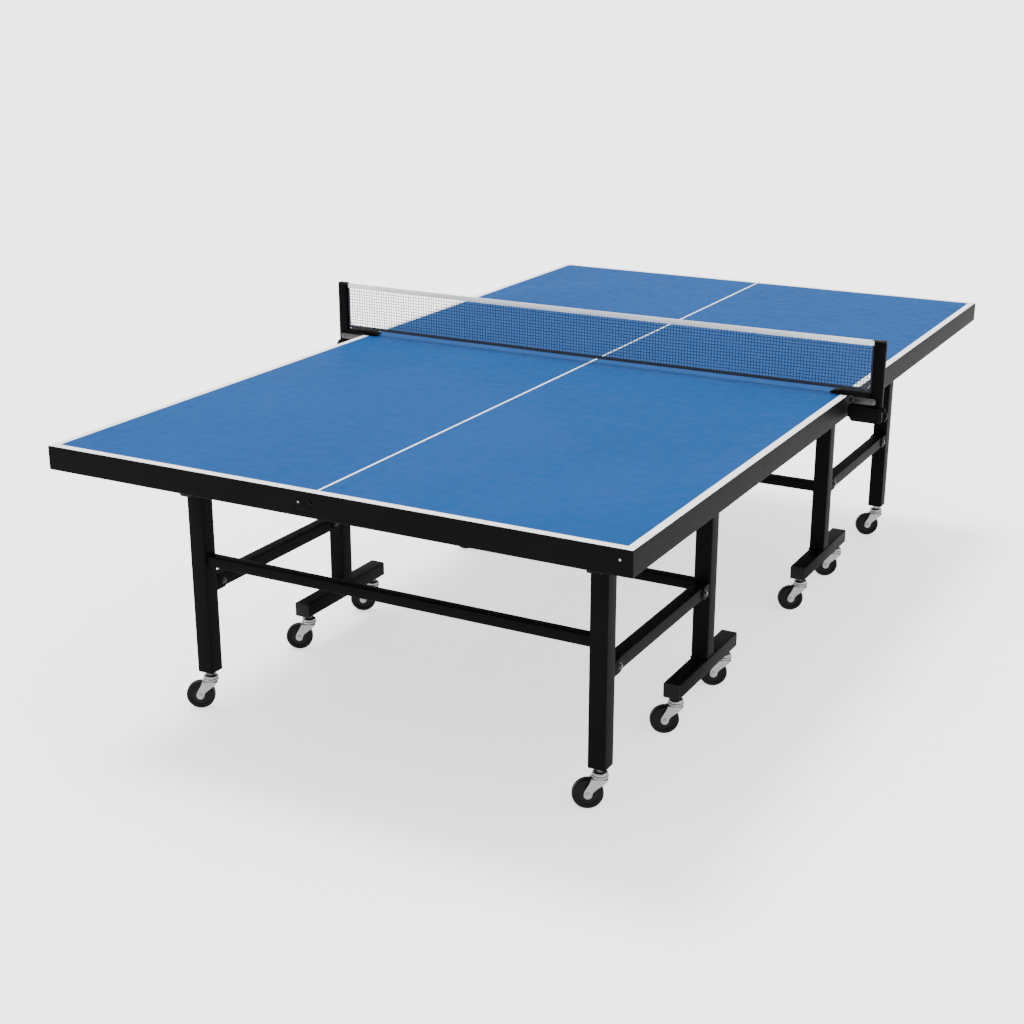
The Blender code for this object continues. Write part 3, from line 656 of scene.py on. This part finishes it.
T_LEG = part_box("t_leg_a_right")
END_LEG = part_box("end_leg_a_right")
SIDE_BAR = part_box("side_bar_a_right")
LEG_X = (END_LEG[0].x + END_LEG[1].x) / 2
EAR_PLATE = 0.003
LEG = END_LEG[1].x - END_LEG[0].x - 2 * EAR_PLATE
FOLD_AXIS = joint_place("fold_a")
END_AXIS = joint_place("end_legs_turn_a")
BAR_AXIS = joint_place("side_bars_turn_a")
END_LEG_Y = END_LEG[0].y + LEG / 2
T_LEG_Y = joint_place("swivel_a_right_outer").y / 2 + joint_place("swivel_a_right_inner").y / 2 + 0.005
END_BAR_Y = END_LEG_Y + (T_LEG_Y - BAR_AXIS.y)
BAR_SIDE = SIDE_BAR[1].x - LEG_X + 0.0005
HINGE_EAR = 0.0075
BAR_EAR = 0.0175
FLOOR_OF_LEG = END_LEG[0].z
FOOT_TOP = FLOOR_OF_LEG + 0.040
FOOT_CAP = 0.0027


def eye_plate(shape, eye, radius, root, x):
    """An ear in the YZ plane: a round eye, and the (y, z) points of its root."""
    start, end = (270, 90) if root[0][0] > eye[0] else (90, -90)
    plate(shape, [*arc(eye, radius, start, end, 12), *root], EAR_PLATE, facing_x(x))


def bar_ear(shape, eye_y, root_y, side):
    """One of the two ears beside a side bar's end."""
    rise = math.copysign(BAR_EAR, root_y - eye_y)
    root = [(root_y, BAR_AXIS.z + rise), (root_y, BAR_AXIS.z - rise)]
    eye_plate(shape, (eye_y, BAR_AXIS.z), BAR_EAR, root, side * (BAR_SIDE + EAR_PLATE / 2))


@modelled
def t_leg_mesh(shape):
    """Half a's right T leg, centred on its own x: upright, foot bar, ears and welds."""
    half = LEG / 2
    y = T_LEG_Y
    tube(shape, (-half, y - half, FOOT_TOP - 0.001), (half, y + half, T_LEG[1].z), 2)
    foot_low = (-half, T_LEG[0].y + 0.0025, FLOOR_OF_LEG)
    bar(shape, foot_low, (half, T_LEG[1].y - 0.0025, FOOT_TOP), 1, 0.0035)
    weld = half + 0.0006
    corners = ((1, 1), (-1, 1), (-1, -1), (1, -1))
    bead(shape, [Vector((sx * weld, y + sy * weld, FOOT_TOP + 0.0004)) for sx, sy in corners])
    for side in (-1, 1):
        root = [(y, FOLD_AXIS.z - 0.050), (y, FOLD_AXIS.z + 0.004)]
        eye_plate(shape, FOLD_AXIS.yz, HINGE_EAR, root, side * (half + EAR_PLATE / 2))
        bar_ear(shape, BAR_AXIS.y, y - half + 0.001, side)


@modelled
def end_leg_mesh(shape):
    """Half a's right end leg, centred on its own x: upright, foot plate and ears."""
    half = LEG / 2
    y = END_LEG_Y
    plug = half - 0.0006
    tube(shape, (-half, y - half, FLOOR_OF_LEG + 0.0015), (half, y + half, END_LEG[1].z), 2)
    plug_low = (-plug, y - plug, FLOOR_OF_LEG)
    bar(shape, plug_low, (plug, y + plug, FLOOR_OF_LEG + 0.003), 2, 0.003, 0.0006)
    back, below = y - half + 0.002, END_AXIS.z - 0.020
    for side in (-1, 1):
        root = [(y + 0.060, below), (back, below), (back, END_AXIS.z + 0.005)]
        eye_plate(shape, END_AXIS.yz, HINGE_EAR, root, side * (half + EAR_PLATE / 2))
        bar_ear(shape, END_BAR_Y, y + half - 0.001, side)


@modelled
def bolts_mesh(shape, eye_y):
    """The bolt head and nut of a side bar's pivot."""
    for side in (-1, 1):
        outside = (side * (BAR_SIDE + EAR_PLATE), eye_y, BAR_AXIS.z)
        hex_head(shape, towards(outside, side * X), 0.0100, 0.0045)


@modelled
def foot_caps_mesh(shape):
    """Plastic end caps of the foot bar."""
    half = LEG / 2
    for low_y in (T_LEG[0].y, T_LEG[1].y - FOOT_CAP):
        low = (-half, low_y, FLOOR_OF_LEG)
        bar(shape, low, (half, low_y + FOOT_CAP, FOOT_TOP), 1, 0.0035, 0.0012)


@modelled
def side_bar_mesh(shape):
    """A side bar with plastic plugs in its ends, centred on its own x."""
    half = (SIDE_BAR[1].x - SIDE_BAR[0].x) / 2
    low, high = SIDE_BAR[0].z, SIDE_BAR[1].z
    tube(shape, (-half, SIDE_BAR[0].y + 0.001, low), (half, SIDE_BAR[1].y - 0.001, high), 1)
    thick, inset = 0.004, 0.0004
    for y in (SIDE_BAR[0].y, SIDE_BAR[1].y - thick):
        bar(shape, (-half + inset, y, low + inset), (half - inset, y + thick, high - inset), 1,
            0.0028, 0.0010, slot=1)


@modelled
def crossbar_mesh(shape, node):
    """A crossbar and the welds at its two ends."""
    low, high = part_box(node)
    corners = ((low.y, low.z), (high.y, low.z), (high.y, high.z), (low.y, high.z))
    tube(shape, low, high, 0)
    for x in (low.x + 0.0008, high.x - 0.0008):
        bead(shape, [Vector((x, y, z)) for y, z in corners], 0.0018, 0.0020)


@modelled
def rail_details_mesh(shape):
    """The hinge rail's screws into the board and the bolts of its two hinges, centred on the rail's x."""
    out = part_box("hinge_rail_a_right")[1].x - LEG_X
    underside = PANEL[0].z - 0.0033
    for step in range(5):
        y = FOLD_AXIS.y - 0.075 - 0.090 * step
        for side in (-1, 1):
            pan_head(shape, towards((side * (out - 0.0038), y, underside), -Z), 0.0030, 0.0016)
    for axis in (FOLD_AXIS, END_AXIS):
        for side in (-1, 1):
            bolt = (side * (out - 0.0010), axis.y, axis.z)
            hex_head(shape, towards(bolt, side * X), 0.0080, 0.0032)


def soften(node, width):
    """Rounds the sharp edges of a CAD node that stays in view."""
    held = frame["nodes"][node]
    weld = held.modifiers.new("weld", "WELD")
    weld.merge_threshold = 0.00001
    round_off = held.modifiers.new("soft_edges", "BEVEL")
    round_off.width = width
    round_off.segments = 2
    round_off.limit_method = "ANGLE"
    round_off.angle_limit = math.radians(40.0)


def build_legs():
    t_leg, end_leg, side_bar, caps = t_leg_mesh(), end_leg_mesh(), side_bar_mesh(), foot_caps_mesh()
    t_crossbar, end_crossbar = crossbar_mesh("t_crossbar_a"), crossbar_mesh("end_crossbar_a")
    rail_details = rail_details_mesh()
    t_bolts, end_bolts = bolts_mesh(BAR_AXIS.y), bolts_mesh(END_BAR_Y)
    for half, turn in HALVES:
        place = Matrix.Rotation(turn, 4, "Z")
        base, ends, bars = f"base_{half}", f"end_legs_{half}", f"side_bars_{half}"
        pieces(half, place, (("base_crossbar", t_crossbar, PAINTED, base, "t_crossbar"),
                             ("end_cross_tube", end_crossbar, PAINTED, ends, "end_crossbar")))
        for side_name, side in SIDES:
            tag = f"{half}_{side_name}"
            pieces(tag, place @ Matrix.Translation((side * LEG_X, 0, 0)), (
                ("base_leg", t_leg, PAINTED, base, "t_leg"),
                ("foot_caps", caps, CAPPED, base, None),
                ("base_bolts", t_bolts, BOLTS, base, None),
                ("outer_leg", end_leg, PAINTED, ends, "end_leg"),
                ("outer_bolts", end_bolts, BOLTS, ends, None),
                ("link_bar", side_bar, PLUGGED, bars, "side_bar"),
                ("rail_details", rail_details, BOLTS, f"top_{half}", None)))
            repaint(f"hinge_rail_{tag}", BLACK)
            soften(f"hinge_rail_{tag}", 0.0005)


# -------- casters

WHEEL_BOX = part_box("caster_wheel_a_right_end")
WHEEL_RADIUS = (WHEEL_BOX[1].z - WHEEL_BOX[0].z) / 2
CROWN = FLOOR_OF_LEG - 0.0262
HUB_RIM = 0.0262
TRAIL = (joint_place("roll_a_right_end") - joint_place("swivel_a_right_end")).xy.length


@modelled
def wheel_mesh(shape):
    """A moulded wheel about Y: a crowned tread with a parting line, a recessed side and a hub."""
    r = WHEEL_RADIUS
    side = [(0.0046, 0.0122), (0.0085, 0.0126), (0.0098, 0.0120), (0.0104, 0.0100), (0.0125, 0.0088),
            (0.0215, 0.0082), (0.0245, 0.0086), (HUB_RIM, 0.0104), (0.0272, 0.0112), (0.0330, 0.0114)]
    tread = [(r - 0.0022, 0.0106), (r - 0.0009, 0.0092), (r - 0.0003, 0.0072), (r - 0.0001, 0.0040),
             (r, 0.0010), (r - 0.0003, 0.0004)]
    turn = Matrix.Rotation(math.radians(-90), 4, "X")
    half = [*side, *tread]
    mirrored = [(radius, -height) for radius, height in half[::-1]]
    lathe(shape, [*half, *mirrored], turn, 56, closed=True)
    for face in shape.faces:
        middle = face.calc_center_median()
        if math.hypot(middle.x, middle.z) < HUB_RIM:
            face.material_index = 1


def fork_strip(shape):
    """The stamped fork: one strip bent over the wheel, wide at the crown and narrow at the axle."""
    gap, bend, thick, eye = 0.0132, 0.0065, 0.0020, 0.0098
    crown_near, crown_far = -0.0185, 0.0215
    across = 10
    axle = WHEEL_RADIUS
    outer = gap + thick
    half = [(outer, z) for _, z in arc((0.0, axle), eye, 270, 180, 8)]
    half += [(outer, axle + (CROWN - bend - axle) * step / 11) for step in range(1, 12)]
    half += arc((outer - bend, CROWN - bend), bend, 0, 90, 8)[1:]
    half += [((outer - bend) * (1 - step / 4), CROWN) for step in range(1, 5)]

    def reach(z):
        """The strip's edges along the trail at a height."""
        if z < axle:
            width = max(math.sqrt(max(eye**2 - (axle - z) ** 2, 0.0)), 0.0004)
            return TRAIL - width, TRAIL + width
        rise = (z - axle) / (CROWN - axle)
        eased = rise * rise * (3 - 2 * rise)
        near, far = TRAIL - eye, TRAIL + eye
        return near + (crown_near - near) * eased, far + (crown_far - far) * eased

    rows = []
    for y, z in [(-y, z) for y, z in half[:-1]] + half[::-1]:
        near, far = reach(z)
        rows.append([shape.verts.new((near + (far - near) * k / across, y, z)) for k in range(across + 1)])
    for one, two in zip(rows, rows[1:], strict=False):
        for k in range(across):
            shape.faces.new((one[k], one[k + 1], two[k + 1], two[k]))
    bmesh.ops.recalc_face_normals(shape, faces=shape.faces)
    bmesh.ops.solidify(shape, geom=shape.faces[:], thickness=thick)
    for face in shape.faces:
        face.smooth = True


@modelled
def fork_mesh(shape):
    """A caster's fork, swivel head, nut and axle bolt, trailing to +X from a stem at the origin."""
    fork_strip(shape)
    head = Matrix.Translation((0, 0, CROWN))
    lower_race = ((0.0120, -0.0008), (0.0192, 0.0002), (0.0205, 0.0012), (0.0208, 0.0030), (0.0200, 0.0048),
                  (0.0178, 0.0052), (0.0172, 0.0060), (0.0100, 0.0060))
    upper_race = ((0.0100, 0.0056), (0.0176, 0.0062), (0.0192, 0.0070), (0.0196, 0.0096), (0.0188, 0.0120),
                  (0.0160, 0.0142), (0.0120, 0.0150), (0.0100, 0.0150))
    collar = ((0.0050, 0.0146), (0.0085, 0.0150), (0.0085, 0.0180), (0.0050, 0.0182))
    nut = ((0.0096, 0.0180), (0.0102, 0.0186), (0.0102, 0.0236), (0.0096, 0.0242))
    stem = ((0.0052, 0.0238), (0.0052, 0.0258), (0.0050, 0.0259))
    for profile, sides in ((lower_race, 40), (upper_race, 40), (collar, 28), (nut, 6), (stem, 20)):
        lathe(shape, profile, head, sides)
    for side in (-1, 1):
        outside = towards((TRAIL, side * 0.0152, WHEEL_RADIUS), side * Y)
        hex_head(shape, outside, 0.0100, 0.0022)
        if side > 0:
            lathe(shape, ((0.0029, 0.0022), (0.0029, 0.0031), (0.0022, 0.0034)), outside, 16)
    axle = towards((TRAIL, 0, WHEEL_RADIUS), Y)
    lathe(shape, ((0.0040, -0.0155), (0.0040, 0.0155)), axle, 20)


def build_casters():
    fork, wheel = fork_mesh(), wheel_mesh()
    spots = ("end", "outer", "inner")
    tags = [f"{half}_{side}_{spot}" for half, _ in HALVES for side, _ in SIDES for spot in spots]
    for tag in tags:
        stem, hub = joint_place(f"swivel_{tag}"), joint_place(f"roll_{tag}")
        away = hub - stem
        turn = Matrix.Rotation(math.atan2(away.y, away.x), 4, "Z")
        above = Matrix.Translation((stem.x, stem.y, 0.0)) @ turn
        pieces(tag, above, [("fork_steel", fork, PLATED, f"fork_{tag}", "caster_fork")])
        at_hub = Matrix.Translation(hub) @ turn
        pieces(tag, at_hub, [("wheel_moulding", wheel, WHEEL, f"wheel_{tag}", "caster_wheel")])


# -------- net set

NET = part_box("net")
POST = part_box("net_post_right")
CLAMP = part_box("clamp_right")
TAPE_HEIGHT = 0.015
BAND_HEIGHT = 0.010
BAND_WIDTH = 0.006
MESH_PITCH = 0.0088
THREAD_RADIUS = 0.00090
THREAD_SIDES = 5
KNOT_RADIUS = 0.0011
KNOT_TIP = 0.0003
POST_INNER = NET[1].x + 0.0003
POST_OUTER = 0.854
TABLE_TOP = PANEL[1].z
JAW_LOW = TABLE_TOP + 0.0016
SAG = 0.0018
RIPPLE = 0.0022
POST_DEPTH = POST[1].y - POST[0].y


def net_point(x, y, z):
    """A point of the net, moved by its slight sag and soft ripple."""
    free = 1.0 - (x / NET[1].x) ** 2
    wave = noise.noise(Vector((x * 5.0, z * 9.0, 3.7)))
    return Vector((x, y + RIPPLE * free * wave, z - SAG * free))


def netting_field():
    """The netting's low and high corners as (x, z), and its columns and rows of meshes."""
    low_z, high_z = NET[0].z + BAND_HEIGHT - 0.001, NET[1].z - TAPE_HEIGHT + 0.001
    left, right = NET[0].x + BAND_WIDTH - 0.001, NET[1].x - BAND_WIDTH + 0.001
    columns, rows = round((right - left) / MESH_PITCH), round((high_z - low_z) / MESH_PITCH)
    return (left, low_z), (right, high_z), columns, rows


@modelled
def netting_mesh(shape):
    """Netting of round threads, with a small knot at each crossing."""
    (left, low_z), (right, high_z), columns, rows = netting_field()
    xs = [left + (right - left) * i / columns for i in range(columns + 1)]
    zs = [low_z + (high_z - low_z) * j / rows for j in range(rows + 1)]
    jitter = 0.0006
    crossings = {}
    for i, x in enumerate(xs):
        for j, z in enumerate(zs):
            push = noise.noise_vector(Vector((i * 0.91, j * 0.77, 1.3))) * jitter
            if i in (0, columns) or j in (0, rows):
                push.zero()
            crossings[i, j] = net_point(x + push.x, 0, z + push.z)
    for i in range(1, columns):
        sweep(shape, [crossings[i, j] for j in range(rows + 1)], THREAD_RADIUS, THREAD_SIDES)
    for j in range(1, rows):
        sweep(shape, [crossings[i, j] for i in range(columns + 1)], THREAD_RADIUS, THREAD_SIDES)
    for i in range(1, columns):
        for j in range(1, rows):
            knot = Matrix.Translation(crossings[i, j]) @ Matrix.Diagonal((1.0, 1.0, 1.15, 1.0))
            lathe(shape, ((KNOT_TIP, -KNOT_RADIUS), (KNOT_RADIUS, 0.0), (KNOT_TIP, KNOT_RADIUS)), knot, 6)


def strip_mesh(name, start, end, low_z, high_z, thickness, steps, fold=False):
    """A flat tape along X that follows the net, with round edges. A folded one is fuller at its top."""
    shape = bmesh.new()
    rings = []
    height = high_z - low_z
    for step in range(steps + 1):
        x = start + (end - start) * step / steps
        ring = []
        for u, v in rounded_rectangle(thickness, height, thickness * 0.48, 3):
            full = 1.0 + 0.5 * max(0.0, v / height) ** 1.5 if fold else 1.0
            ring.append(net_point(x, u * full, (low_z + high_z) / 2 + v))
        rings.append(ring)
    loft(shape, rings)
    return finished(shape, name)


@modelled
def stitches_mesh(shape):
    """Two rows of stitches along the white tape, on both faces."""
    length, pitch, inset = 0.0036, 0.0062, 0.01
    count = int((NET[1].x - NET[0].x - 2 * inset) / pitch)
    for height in (NET[1].z - TAPE_HEIGHT + 0.0022, NET[1].z - TAPE_HEIGHT + 0.0048):
        for k in range(count):
            x = NET[0].x + inset + k * pitch
            for side in (-1, 1):
                y = side * 0.00128
                route = ((0.0, 0.80), (0.25, 1.08), (0.75, 1.08), (1.0, 0.80))
                ends = [net_point(x + length * along, y * out, height) for along, out in route]
                sweep(shape, ends, [0.00012, 0.00026, 0.00026, 0.00012], 5)


@modelled
def side_band_mesh(shape, side):
    """The dark band that closes the net beside a post."""
    low, high = sorted((side * NET[1].x, side * (NET[1].x - BAND_WIDTH)))
    top = NET[1].z - TAPE_HEIGHT + 0.001
    bar(shape, (low, -0.0012, NET[0].z), (high, 0.0012, top), 2, 0.0011, 0.0005)


@modelled
def post_mesh(shape):
    """A net post at +X: a rectangular tube with a domed cap and a hook for the tape."""
    half = POST_DEPTH / 2
    width, top = POST_OUTER - POST_INNER, POST[1].z
    low = (POST_INNER, -half, POST[0].z)
    tube(shape, low, (POST_OUTER, half, top - 0.0045), 2, 0.0045, 0.0015)
    cap_low = top - 0.0060
    middle_x = (POST_INNER + POST_OUTER) / 2
    dome = ((0.0, 0.0), (0.0004, -0.0005), (0.0022, -0.0005), (0.0038, 0.0004), (0.0050, 0.0020),
            (0.0057, 0.0042), (0.0060, 0.0070))
    rings = []
    for rise, inset in dome:
        corner = max(0.0047 - inset * 0.5, 0.0012)
        outline = rounded_rectangle(width - 2 * inset, POST_DEPTH - 2 * inset, corner, 5)
        rings.append([Vector((middle_x + u, v, cap_low + rise)) for u, v in outline])
    loft(shape, rings, slot=1)
    route = ((0.0002, 0.0034), (0.0028, 0.0030), (0.0046, 0.0042), (0.0050, 0.0064))
    hook = [Vector((POST_INNER - out, 0, top - down)) for out, down in route]
    sweep(shape, hook, [0.0017, 0.0017, 0.0015, 0.0011], 10, slot=1)


@modelled
def lever_ears_mesh(shape):
    """The lever's two ears and hinge pin on the outside of the post."""
    pin = joint_place("clamp_lever_right_flip")
    x, z = pin.x, pin.z
    root = POST_OUTER - 0.0008
    for side in (-1, 1):
        outline = [*arc((x, z), 0.0030, -90, 90, 10), (root, z + 0.006), (root, z - 0.006)]
        plate(shape, outline, 0.0020, facing_y(side * 0.0074), 0.0004)
    lathe(shape, ((0.0012, -0.0090), (0.0012, 0.0090)), towards((x, 0, z), Y), 14)


@modelled
def clamp_mesh(shape):
    """The clamp at +X: jaw, web and the housing round the post's foot, in dark paint."""
    tip, heel, outer_y = CLAMP[0].x, POST_INNER - 0.0005, CLAMP[1].y
    jaw = [(tip, JAW_LOW + 0.0030), (tip + 0.006, JAW_LOW + 0.0006), (tip + 0.014, JAW_LOW), (heel, JAW_LOW),
           (heel, JAW_LOW + 0.0100), (tip + 0.030, JAW_LOW + 0.0104), (tip + 0.012, JAW_LOW + 0.0080),
           (tip + 0.002, JAW_LOW + 0.0052)]
    plate(shape, jaw, 2 * (outer_y - 0.004), facing_y(0.0), 0.0012)
    low, high = CLAMP[0].z, TABLE_TOP - 0.024
    face, wall = HALF_WIDTH + 0.0040, 0.0030
    corner = POST_OUTER - 0.010
    cheek = [(face + 0.002, low + 0.012), (face + 0.012, low), (corner, low),
             *arc((corner, low + 0.010), 0.0095, -80, 0, 6), (POST_OUTER - 0.0005, high), (face, high)]
    for side in (-1, 1):
        plate(shape, cheek, wall, facing_y(side * (outer_y - wall / 2)), 0.0010)
    deep, inner = outer_y - 0.001, POST_INNER - 0.0006
    walls = (((face, -deep, high - 0.0045), (inner, deep, high), 0, 0.0008),
             ((face, -deep, low + 0.012), (face + 0.003, deep, high - 0.002), 2, 0.0008),
             ((POST_INNER - 0.0075, -deep, low + 0.001), (inner, deep, high - 0.002), 2, 0.0008),
             ((POST_INNER - 0.0090, -0.016, high - 0.002), (inner, 0.016, JAW_LOW + 0.001), 2, 0.0012))
    for start, end, axis, radius in walls:
        bar(shape, start, end, axis, radius)


@modelled
def strap_mesh(shape):
    """The grey steel strap round the post above the housing, with its rivets."""
    low, high = TABLE_TOP - 0.0170, TABLE_TOP
    start, end = HALF_WIDTH + 0.0050, POST_OUTER - 0.014
    outline = [(start, low + 0.003), (start + 0.003, low), (end - 0.004, low), (end, low + 0.004),
               (end, high - 0.004), (end - 0.004, high), (start, high)]
    for side in (-1, 1):
        plate(shape, outline, 0.0020, facing_y(side * 0.0180))
        for x in (start + 0.012, end - 0.012):
            rivet = (x, side * 0.0190, (low + high) / 2)
            pan_head(shape, towards(rivet, side * Y), 0.0030, 0.0014)


@modelled
def pad_mesh(shape):
    """The rubber pad under the jaw."""
    low = (CLAMP[0].x + 0.010, -0.0150, TABLE_TOP + 0.0003)
    bar(shape, low, (HALF_WIDTH - 0.002, 0.0150, TABLE_TOP + 0.0019), 0, 0.0007, 0.0005)


@modelled
def hook_mesh(shape):
    """The bent wire that draws the lower band to the clamp."""
    start = Vector((POST_INNER, 0, NET[0].z + 0.004))
    route = ((-0.026, -0.0026, 0.0), (-0.020, -0.0036, 0.0030), (-0.014, -0.0042, 0.0012),
             (-0.009, -0.0042, 0.0050), (-0.006, -0.0038, 0.0110), (-0.004, -0.0030, 0.0160))
    sweep(shape, smoothed([start + Vector(offset) for offset in route], 6), 0.0008)


@modelled
def lever_mesh(shape):
    """The clamp lever, bowed outwards, about its own pin."""
    drop, bow, thick, eye, steps = 0.033, 0.008, 0.0025, 0.0029, 18
    outer, inner = [], []
    for step in range(1, steps + 1):
        share = step / steps
        lean = bow * math.sin(math.pi * share)
        outer.append((eye + lean, -drop * share))
        inner.append((eye - thick + lean, -drop * share))
    plate(shape, arc((0.0, 0.0), eye, 180, 0, 12) + outer + inner[::-1], 0.0118, facing_y(0.0), 0.0004)


def build_net_set():
    body = "net_set"
    low, high = NET
    netting = piece("netting", netting_mesh(), ("netting", THREAD), body, stands_for=["net"])
    tape = strip_mesh("net_tape", low.x, high.x, high.z - TAPE_HEIGHT, high.z, 0.0022, 160, fold=True)
    band = strip_mesh("lower_band", low.x, high.x, low.z, low.z + BAND_HEIGHT, 0.0020, 160)
    sewn = [piece("net_tape", tape, ("netting", TAPE), body),
            piece("lower_band", band, ("netting", BAND), body),
            piece("tape_stitches", stitches_mesh(), ("netting", STITCH), body)]
    for side_name, side in SIDES:
        sewn.append(piece(f"side_band_{side_name}", side_band_mesh(side), ("netting", BAND), body))
    rows = (("post_tube", post_mesh(), PLUGGED, body, "net_post"),
            ("lever_ears", lever_ears_mesh(), BLACK_STEEL, body, None),
            ("clamp_body", clamp_mesh(), PAINTED, body, "clamp"),
            ("clamp_strap", strap_mesh(), BOLTS, body, None),
            ("jaw_pad", pad_mesh(), PAD, body, None),
            ("tension_hook", hook_mesh(), PLATED, body, None))
    lever = lever_mesh()
    for side_name, side in SIDES:
        place = Matrix.Rotation(0.0 if side > 0 else math.pi, 4, "Z")
        pieces(side_name, place, rows)
        pivot = Matrix.Translation(joint_place(f"clamp_lever_{side_name}_flip")) @ place
        lever_body = f"clamp_lever_{side_name}"
        pieces(side_name, pivot, [("quick_lever", lever, BLACK_STEEL, lever_body, "clamp_lever")])


# -------- release latch

def build_latch():
    """A flush plate with one wide round corner, a worn bright rim and its screw."""
    low, high = LATCH_BOX
    wide, small, thick = 0.014, 0.003, 0.0020
    corners = ((high.x - wide, high.z - wide, wide), (low.x + small, high.z - small, small),
               (low.x + small, low.z + small, small), (high.x - small, low.z + small, small))
    rim = []
    for quarter, (x, z, radius) in enumerate(corners):
        rim += arc((x, z), radius, 90 * quarter, 90 * quarter + 90, 8)
    shape = bmesh.new()
    plate(shape, rim, thick, facing_y(low.y + thick / 2))
    shape.normal_update()
    for face in shape.faces:
        face.material_index = 0 if abs(face.normal.y) > 0.9 else 1
    screw = (low.x + 0.006, low.y + 0.0001, high.z - 0.005)
    pan_head(shape, towards(screw, -Y), 0.0026, 0.0008, slot=2)
    mesh = finished(shape, "latch_plate")
    piece("latch_plate", mesh, LATCH_STEEL, "release_latch", stands_for=["release_latch"])


# -------- studio

# The sky, a glow at the horizon and the right wall add up. Each is a view axis, where its strength starts
# and stops to change along it, and the two strengths.
SKY = (("Z", 0.15, 0.90, 0.9, 1.7), ("Z", 0.0, 0.20, 1.5, 0.0), ("X", 0.10, 0.90, 0.0, 0.2))
FLOOR_REACH = 80.0
FLOOR_GLOW = 1.3
PURE_WHITE = (1.0, 1.0, 1.0, 1.0)
# Each sun is a name, its lean along X and Y in degrees, its strength and its softness in degrees.
SUNS = (("key", -14.0, -6.0, 3.6, 18.0), ("right_fill", 50.0, 0.0, 0.45, 60.0))


def build_studio():
    """A pale floor, a white surround and two soft suns."""
    mesh = bpy.data.meshes.new("floor")
    corners = [(x * FLOOR_REACH, y * FLOOR_REACH, 0) for x, y in ((-1, -1), (1, -1), (1, 1), (-1, 1))]
    mesh.from_pydata(corners, [], [(0, 1, 2, 3)])
    floor = shown("floor", mesh)
    look = Look("studio_floor", 0.6, Specular_IOR_Level=0.2, Emission_Color=PURE_WHITE,
                Emission_Strength=FLOOR_GLOW)
    look.colour(look.ramp(look.noise(0.4, 2.0), (0.3, (0.90, 0.90, 0.905)), (0.7, (0.92, 0.92, 0.925))))
    mesh.materials.append(look.material)
    world = bpy.data.worlds.new("studio")
    world.use_nodes = True
    nodes, links = world.node_tree.nodes, world.node_tree.links
    direction = nodes.new("ShaderNodeSeparateXYZ")
    links.new(nodes.new("ShaderNodeTexCoord").outputs["Generated"], direction.inputs["Vector"])
    total = None
    for axis, *limits in SKY:
        strength = map_range(nodes, links, direction.outputs[axis], *limits, "SMOOTHSTEP")
        if total:
            add = nodes.new("ShaderNodeMath")
            links.new(total, add.inputs[0])
            links.new(strength, add.inputs[1])
            strength = add.outputs["Value"]
        total = strength
    links.new(total, nodes["Background"].inputs["Strength"])
    nodes["Background"].inputs["Color"].default_value = PURE_WHITE
    bpy.context.scene.world = world
    for name, lean_x, lean_y, energy, softness in SUNS:
        light = bpy.data.lights.new(name, "SUN")
        light.energy = energy
        light.angle = math.radians(softness)
        shown(name, light).rotation_euler = (math.radians(lean_y), math.radians(lean_x), 0.0)


build_tabletops()
build_legs()
build_casters()
build_net_set()
build_latch()
build_studio()
